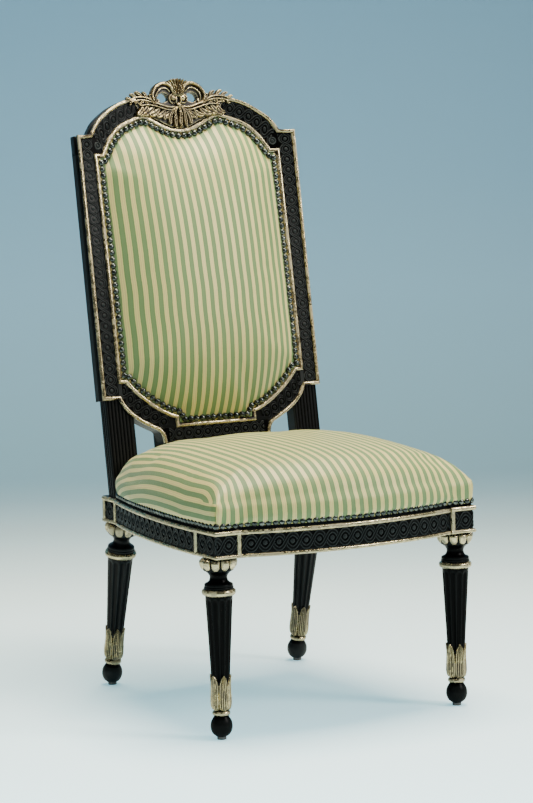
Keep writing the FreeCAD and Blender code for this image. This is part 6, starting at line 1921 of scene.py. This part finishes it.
def carving():
    g = Geo()
    # pierced ground that carries everything
    ring = [(0, 804), (13, 802.5), (20, 799), (33, 794.5), (46, 787.5), (54.5, 778.5), (62, 773), (76, 776), (90, 775), (103, 769.5), (108, 766), (98, 761), (93, 753), (90, 744), (72, 736), (43, 724), (21, 713), (0, 710)]
    hole = [(18.5, 769), (20.5, 764.5), (27, 761), (35, 760), (42, 763), (45, 769.5), (40.5, 777), (31, 780.5), (22.5, 778)]

    def inside(P, poly):
        poly = np.asarray(poly, float)
        x, y = P[..., 0], P[..., 1]
        c = np.zeros(x.shape, bool)
        j = len(poly) - 1
        for i in range(len(poly)):
            a, b = poly[i], poly[j]
            hit = ((a[1] > y) != (b[1] > y)) & (x < (b[0] - a[0]) * (y - a[1]) / (b[1] - a[1] + 1e-12) + a[0])
            c ^= hit
            j = i
        return c
    full = np.array(ring + [(-a, b) for a, b in ring[::-1]], float)
    hl = np.array(hole, float)
    # built as small blocks, joined when the whole is made one skin below
    step = 1.5
    U, L_ = np.meshgrid(np.arange(-112, 112, step), np.arange(706, 806, step), indexing="ij")
    C = np.stack([U + step / 2, L_ + step / 2], -1)
    ok = inside(C, full) & ~inside(np.stack([np.abs(C[..., 0]), C[..., 1]], -1), hl)
    V, q = [], []
    for i, j in zip(*np.nonzero(ok)):
        a, b = U[i, j], L_[i, j]
        low = b > 741 and abs(a) < 74
        quad = np.array([(a, b), (a + step, b), (a + step, b + step), (a, b + step)])
        f_ = pbk(quad, -0.6)
        k_ = pbk(quad, 15.0 if low else 2.5)
        o_ = len(V) * 1
        base = len(V)
        V += list(f_) + list(k_)
        n1, n2 = base, base + 4
        faces = [(0, 1, 2, 3), (7, 6, 5, 4)]
        nb = {0: (i, j - 1), 1: (i + 1, j), 2: (i, j + 1), 3: (i - 1, j)}
        for e_ in range(4):
            faces.append((e_, e_ + 4, (e_ + 1) % 4 + 4, (e_ + 1) % 4))
        q += [tuple(base + v for v in fc) for fc in faces]
    g.add(np.array(V), np.array(q))
    for sg in (1, -1):
        M = lambda pts: [(sg * a, b) for a, b in pts]
        # palmette ribs
        for k in range(0, 5):
            if k == 0 and sg < 0:
                continue
            x1 = k * 6.5
            top = 807.0 - 0.55 * k ** 1.9
            x0 = k * 2.7
            pts = [(x0 * 0.9, 771 + 0.5 * k), (x0 + 0.16 * (x1 - x0), 783), (x0 + 0.42 * (x1 - x0), 792.5), (x0 + 0.78 * (x1 - x0), 800.5 - 0.6 * k), (x1 + 1.0, top)]
            leaf(g, M(pts), [(0, 0.7), (0.35, 0.95), (0.75, 1.55), (0.92, 2.0), (1, 1.3)], 8.8 - 0.45 * k, -0.6, 6, vein=0.0, tip=0.6, curl=1.6)
        # C scroll: a bold outer band, a fillet inside it
        c = [(9, 779), (13.5, 789.5), (22, 796.3), (33, 797.3), (45, 792.3), (53.5, 783.5), (57, 773.5), (54.5, 763.5)]
        leaf(g, M(c), [(0, 2.2), (0.15, 3.6), (0.5, 4.1), (0.85, 3.6), (1, 2.4)], 7.4, -0.6, 7, vein=0.0, tip=0.7)
        c2 = [(17, 781), (23.5, 787.3), (33, 788.3), (41.5, 784.3), (47.3, 777.5), (49.5, 770), (47.5, 763)]
        leaf(g, M(c2), [(0, 1.2), (0.4, 2.1), (1, 1.5)], 5.0, -0.6, 7, vein=0.0)
        leaf(g, M([(55, 765), (50, 759.8), (43.5, 761.5), (43.8, 767.0)]), [(0, 3.0), (0.6, 2.3), (1, 1.6)], 6.0, -0.6, 6, vein=0.0)
        # volute eye beside the centre
        ballk(g, sg * 11.0, 768.5, -3.6, 5.4)
        leaf(g, M([(3.5, 777.5), (10, 777), (17.5, 772.5), (19.0, 765), (14, 758.8), (7, 759.5)]), [(0, 1.2), (0.5, 1.9), (1, 1.4)], 4.6, -0.6, 6, vein=0.0)
        leaf(g, M([(2.6, 779), (4.6, 772), (5.2, 763), (3.4, 755)]), [(0, 1.0), (0.4, 2.5), (0.8, 2.3), (1, 1.4)], 6.4, -0.6, 6, vein=0.8)
        if sg > 0:
            ballk(g, 0.0, 753.5, -4.4, 5.6)
            leaf(g, [(0.0, 751), (1.2, 741), (0.4, 729), (-0.6, 719), (0.0, 711.5)], [(0, 2.0), (0.35, 4.2), (0.75, 4.6), (0.93, 3.2), (1, 1.0)], 9.0, -0.6, 5, vein=0.0, groove=2.6, tip=0.6, curl=2.4)
        # drooping leaf from the husk to the dip of the rail
        for k, (a, b, w) in enumerate([(10.5, 712.0, 4.5), (22.0, 717.5, 5.2), (34.0, 726.0, 5.2)]):
            pts = [(2.5 + 1.2 * k, 753 - 1.4 * k), (4.0 + 0.44 * a, 744 - 0.5 * k), (1.0 + 0.92 * a, 731 + 1.6 * k), (a + 1.0, b)]
            leaf(g, M(pts), [(0, 1.4), (0.3, 2.8), (0.72, w), (0.92, w * 0.8), (1, 0.9)], 8.6 - 1.0 * k, -0.6, 5, vein=0.0, groove=2.6, tip=0.6, curl=2.2)
        # stem under the opening, swelling into the shoulder leaf
        leaf(g, M([(7, 752.5), (17, 750.5), (30, 752.5), (44, 757), (58, 760.5), (68, 765)]), [(0, 1.6), (0.3, 2.7), (0.7, 2.4), (1, 1.2)], 7.2, -0.6, 6, vein=0.0)
        lobed(g, M([(56, 762), (68, 768.5), (82, 771.0), (97, 769.5), (111, 764.5)]), [(0, 10.0), (0.5, 12.0), (1, 7.0)], 5, 6.4, (1 * sg,), 0.80)
        lobed(g, M([(58, 760), (70, 764.0), (84, 765.5), (98, 763.5), (110, 759.5)]), [(0, 7.0), (0.5, 8.0), (1, 5.0)], 4, 5.0, (-1 * sg,), 0.7)
        # acanthus between stem and swag: broad lobes hang from its rib, narrow ones stand on it
        lobed(g, M([(14, 745), (26, 745.5), (40, 749), (54, 753), (70, 755.5), (88, 754.0)]), [(0, 15.0), (0.35, 21.5), (0.7, 23.5), (1, 15.0)], 6, 8.0, (-1 * sg,), 1.02)
        lobed(g, M([(14, 745), (26, 745.5), (40, 749), (54, 753), (70, 755.5), (88, 754.0)]), [(0, 7.0), (0.5, 9.0), (1, 7.0)], 5, 6.0, (1 * sg,), 0.62)
    o = g.obj("crest_carved_spray", M_GILT2, "gilt_carving", ("crest_carving",))
    mod = o.modifiers.new("skin", "REMESH")
    mod.mode = "VOXEL"
    mod.voxel_size = 0.00078
    mod.adaptivity = 0.0
    sm = o.modifiers.new("soft", "SMOOTH")
    sm.factor = 0.5
    sm.iterations = 2
    dg = bpy.context.evaluated_depsgraph_get()
    me = bpy.data.meshes.new_from_object(o.evaluated_get(dg), depsgraph=dg)
    o.modifiers.clear()
    old = o.data
    o.data = me
    bpy.data.meshes.remove(old)
    # small loose islands of the skin go
    bm = bmesh.new()
    bm.from_mesh(me)
    bm.faces.ensure_lookup_table()
    seen, groups = set(), []
    for f0 in bm.faces:
        if f0.index in seen:
            continue
        stack, grp = [f0], []
        seen.add(f0.index)
        while stack:
            f1 = stack.pop()
            grp.append(f1)
            for e_ in f1.edges:
                for f2 in e_.link_faces:
                    if f2.index not in seen:
                        seen.add(f2.index)
                        stack.append(f2)
        groups.append(grp)
    groups.sort(key=len)
    doomed = [f_ for grp in groups[:-1] for f_ in grp]
    if doomed:
        bmesh.ops.delete(bm, geom=doomed, context="FACES")
    bm.to_mesh(me)
    bm.free()
    if not me.materials:
        me.materials.append(M_GILT2)
    me.polygons.foreach_set("use_smooth", np.ones(len(me.polygons), bool))
    me.update()
    relief(me, 10, 140)
    # painted shade on the sunk ground between the strokes: relw is lowered there so that the gilt material darkens it
    n_ = len(me.vertices)
    co = np.zeros(n_ * 3, np.float32)
    me.vertices.foreach_get("co", co)
    co = co.reshape(-1, 3).astype(float) * 1000.0
    co[:, 1] += SHIFT
    O_ = back(0, 0, 0)
    u_, l_ = co[:, 0], (co - O_) @ (back(0, 0, 1) - O_)
    up = dip(u_, l_) - (co - O_) @ (back(0, 1, 0) - O_)
    w_ = np.zeros(n_, np.float32)
    a_ = me.attributes["relw"]
    a_.data.foreach_get("value", w_)
    w_ = w_ + np.clip((up - 3.4) / 2.0, -1.0, 0.0) * 1.3 * (up > -3.0)
    a_.data.foreach_set("value", w_.astype(np.float32))
    print("carving", len(me.vertices), "islands dropped", len(groups) - 1)


carving()

# ------------------------------------------------------------------ finishes of the parts shown as drawn
for nm, mt in (
    ("rear_seat_rail", M_WOOD_X), ("corner_block_front_left", M_INNER), ("corner_block_front_right", M_INNER), ("corner_block_rear_left", M_INNER), ("corner_block_rear_right", M_INNER),
    ("seat_dowels", M_INNER), ("back_dowels", M_INNER), ("corner_block_screws", M_SCREW), ("seat_webbing", M_JUTE), ("seat_hessian", M_JUTE), ("back_webbing", M_JUTE), ("back_hessian", M_JUTE),
    ("seat_dust_cover", M_BLACKCLOTH), ("glide_front_left", M_GLIDE), ("glide_front_right", M_GLIDE), ("glide_rear_left", M_GLIDE), ("glide_rear_right", M_GLIDE),
):
    o = NODES[nm]
    o.data.materials.clear()
    o.data.materials.append(mt)

# ------------------------------------------------------------------ stage, light, camera
def stage_material(name, build):
    m, nt, bs = nodes_of(name)
    build(nt, bs)
    return m


def build_stage():
    X = 7.0
    prof = [(-4.8, 0.0), (-2.5, 0.0), (-1.0, 0.0), (0.0, 0.0), (1.0, 0.0), (2.0, 0.0), (3.0, 0.0)]
    R = 0.9
    for k in range(1, 19):
        a = k / 18 * math.pi / 2
        prof.append((3.0 + R * math.sin(a), R - R * math.cos(a)))
    prof += [(3.9, 1.6), (3.9, 3.0), (3.9, 5.5)]
    prof = np.array(prof)
    run = lengths(prof) - 4.8
    # turned so that it faces the camera
    az = math.radians(-28.983)
    f = np.array([-math.sin(az), math.cos(az)])
    r = np.array([math.cos(az), math.sin(az)])
    xs = np.linspace(-X, X, 9)
    V = np.array([[(r * x + f * p[0])[0], (r * x + f * p[0])[1], p[1]] for x in xs for p in prof])
    q = gridf(len(xs), len(prof))
    me = bpy.data.meshes.new("studio_sweep")
    me.from_pydata([tuple(v) for v in V], [], [tuple(int(i) for i in f2) for f2 in q])
    me.polygons.foreach_set("use_smooth", np.ones(len(me.polygons), bool))
    me.update()
    a = me.attributes.new("run", "FLOAT", "POINT")
    a.data.foreach_set("value", np.tile(run, len(xs)).astype(np.float32))
    a = me.attributes.new("across", "FLOAT", "POINT")
    a.data.foreach_set("value", np.repeat(xs, len(prof)).astype(np.float32))
    o = bpy.data.objects.new("studio_sweep", me)
    bpy.context.scene.collection.objects.link(o)

    def mat(nt, bs):
        t = mathn(nt, "MULTIPLY_ADD", attr(nt, "run"), 0.1, 0.5, clamp=True)
        n = noise(nt, coords(nt), 2.0, 3.0)
        # painted shading along the sweep: pale around the chair, darker and bluer towards the back and up the cove,
        # lighter again in a band high up and darker at the top
        c = ramp(nt, t, [(0.45, (0.84, 0.95, 0.97)), (0.55, (0.82, 0.94, 0.95)), (0.61, (0.76, 0.89, 0.88)), (0.68, (0.57, 0.755, 0.80)), (0.76, (0.37, 0.58, 0.68)), (0.83, (0.315, 0.56, 0.69)), (0.90, (0.315, 0.585, 0.79)), (1.0, (0.215, 0.44, 0.64))])
        c = mixc(nt, mathn(nt, "MULTIPLY", n, 0.06), c, (0.40, 0.46, 0.48))
        nt.links.new(c, bs.inputs["Base Color"])
        bs.inputs["Roughness"].default_value = 0.8
        bs.inputs["Specular IOR Level"].default_value = 0.1
        # painted light: the paper grows lighter towards the left (negative across) and darker towards the right
        lr = mathn(nt, "MULTIPLY_ADD", attr(nt, "across"), -0.085, 0.97, clamp=False)
        side = nd(nt, "CombineColor")
        for k in range(3):
            nt.links.new(lr, side.inputs[k])
        c = mixc(nt, 1.0, c, side.outputs[0], "MULTIPLY")
        nt.links.new(c, bs.inputs["Base Color"])
        glow = ramp(nt, t, [(0.36, (2.3, 2.3, 2.3)), (0.44, (1.34, 1.34, 1.34)), (0.50, (0.78, 0.78, 0.78)), (0.58, (0.45, 0.45, 0.45)), (0.64, (0.17, 0.17, 0.17)), (0.70, (0.0, 0.0, 0.0))])
        nt.links.new(mixc(nt, 0.96, c, (0.42, 0.88, 1.0)), bs.inputs["Emission Color"])
        # the paper's glow is mostly for the picture; it lights the chair with a third of it
        lp = nd(nt, "LightPath")
        seen = mathn(nt, "MULTIPLY_ADD", lp.outputs["Is Camera Ray"], 0.66, 0.34)
        nt.links.new(mathn(nt, "MULTIPLY", glow, seen), bs.inputs["Emission Strength"])
        nt.links.new(bump(nt, noise(nt, coords(nt), 300.0, 2.0), 0.05, 0.0005), bs.inputs["Normal"])
    me.materials.append(stage_material("studio_paper", mat))


def area(name, loc, target, size, power, color, sy=None):
    li = bpy.data.lights.new(name, "AREA")
    li.energy = power
    li.color = color
    li.shape = "RECTANGLE"
    li.size = size
    li.size_y = sy or size
    o = bpy.data.objects.new(name, li)
    d = Vector(target) - Vector(loc)
    o.rotation_euler = d.to_track_quat("-Z", "Y").to_euler()
    o.location = loc
    bpy.context.scene.collection.objects.link(o)


build_stage()
W = bpy.data.worlds.new("studio_world")
bpy.context.scene.world = W
W.use_nodes = True
W.node_tree.nodes["Background"].inputs[0].default_value = (0.80, 0.88, 0.92, 1)
W.node_tree.nodes["Background"].inputs[1].default_value = 0.10
area("overhead_soft", (0.35, 0.05, 3.3), (0.0, 0.0, 0.3), 1.8, 229.0, (1.0, 0.93, 0.77))
area("front_key", (2.0, -2.45, 2.3), (0, 0, 0.6), 0.8, 87.0, (1.0, 0.97, 0.92), 1.2)
area("front_left", (-3.0, -2.2, 2.4), (0, 0, 0.6), 0.8, 2.0, (0.93, 0.97, 1.0), 1.2)
area("right_side", (3.4, -0.9, 1.7), (0, 0, 0.6), 1.6, 8.0, (0.97, 0.98, 1.0), 2.0)

cam = bpy.data.cameras.new("photo_camera")
cam.sensor_fit = "AUTO"
cam.sensor_width = 36.0
cam.lens = 2801.773832980317 * 36.0 / 803.0
cam.clip_start, cam.clip_end = 0.1, 50.0
co = bpy.data.objects.new("photo_camera", cam)
bpy.context.scene.collection.objects.link(co)
AZ, EL, RO = math.radians(-28.982955927250472), math.radians(6.3880876280923165), math.radians(-1.0993541450803945)
bk = Vector((math.sin(AZ) * math.cos(EL), -math.cos(AZ) * math.cos(EL), math.sin(EL)))
tx = Vector((0, 0, 1)).cross(bk).normalized()
ty = bk.cross(tx)
x2 = tx * math.cos(RO) + ty * math.sin(RO)
y2 = ty * math.cos(RO) - tx * math.sin(RO)
C = Vector((-37.33249580451531, 227.77299422474326 - SHIFT, 570.9086541164535)) * 0.001 + bk * 5.179567654648798
co.matrix_world = Matrix(((x2.x, y2.x, bk.x, C.x), (x2.y, y2.y, bk.y, C.y), (x2.z, y2.z, bk.z, C.z), (0, 0, 0, 1)))
bpy.context.scene.camera = co
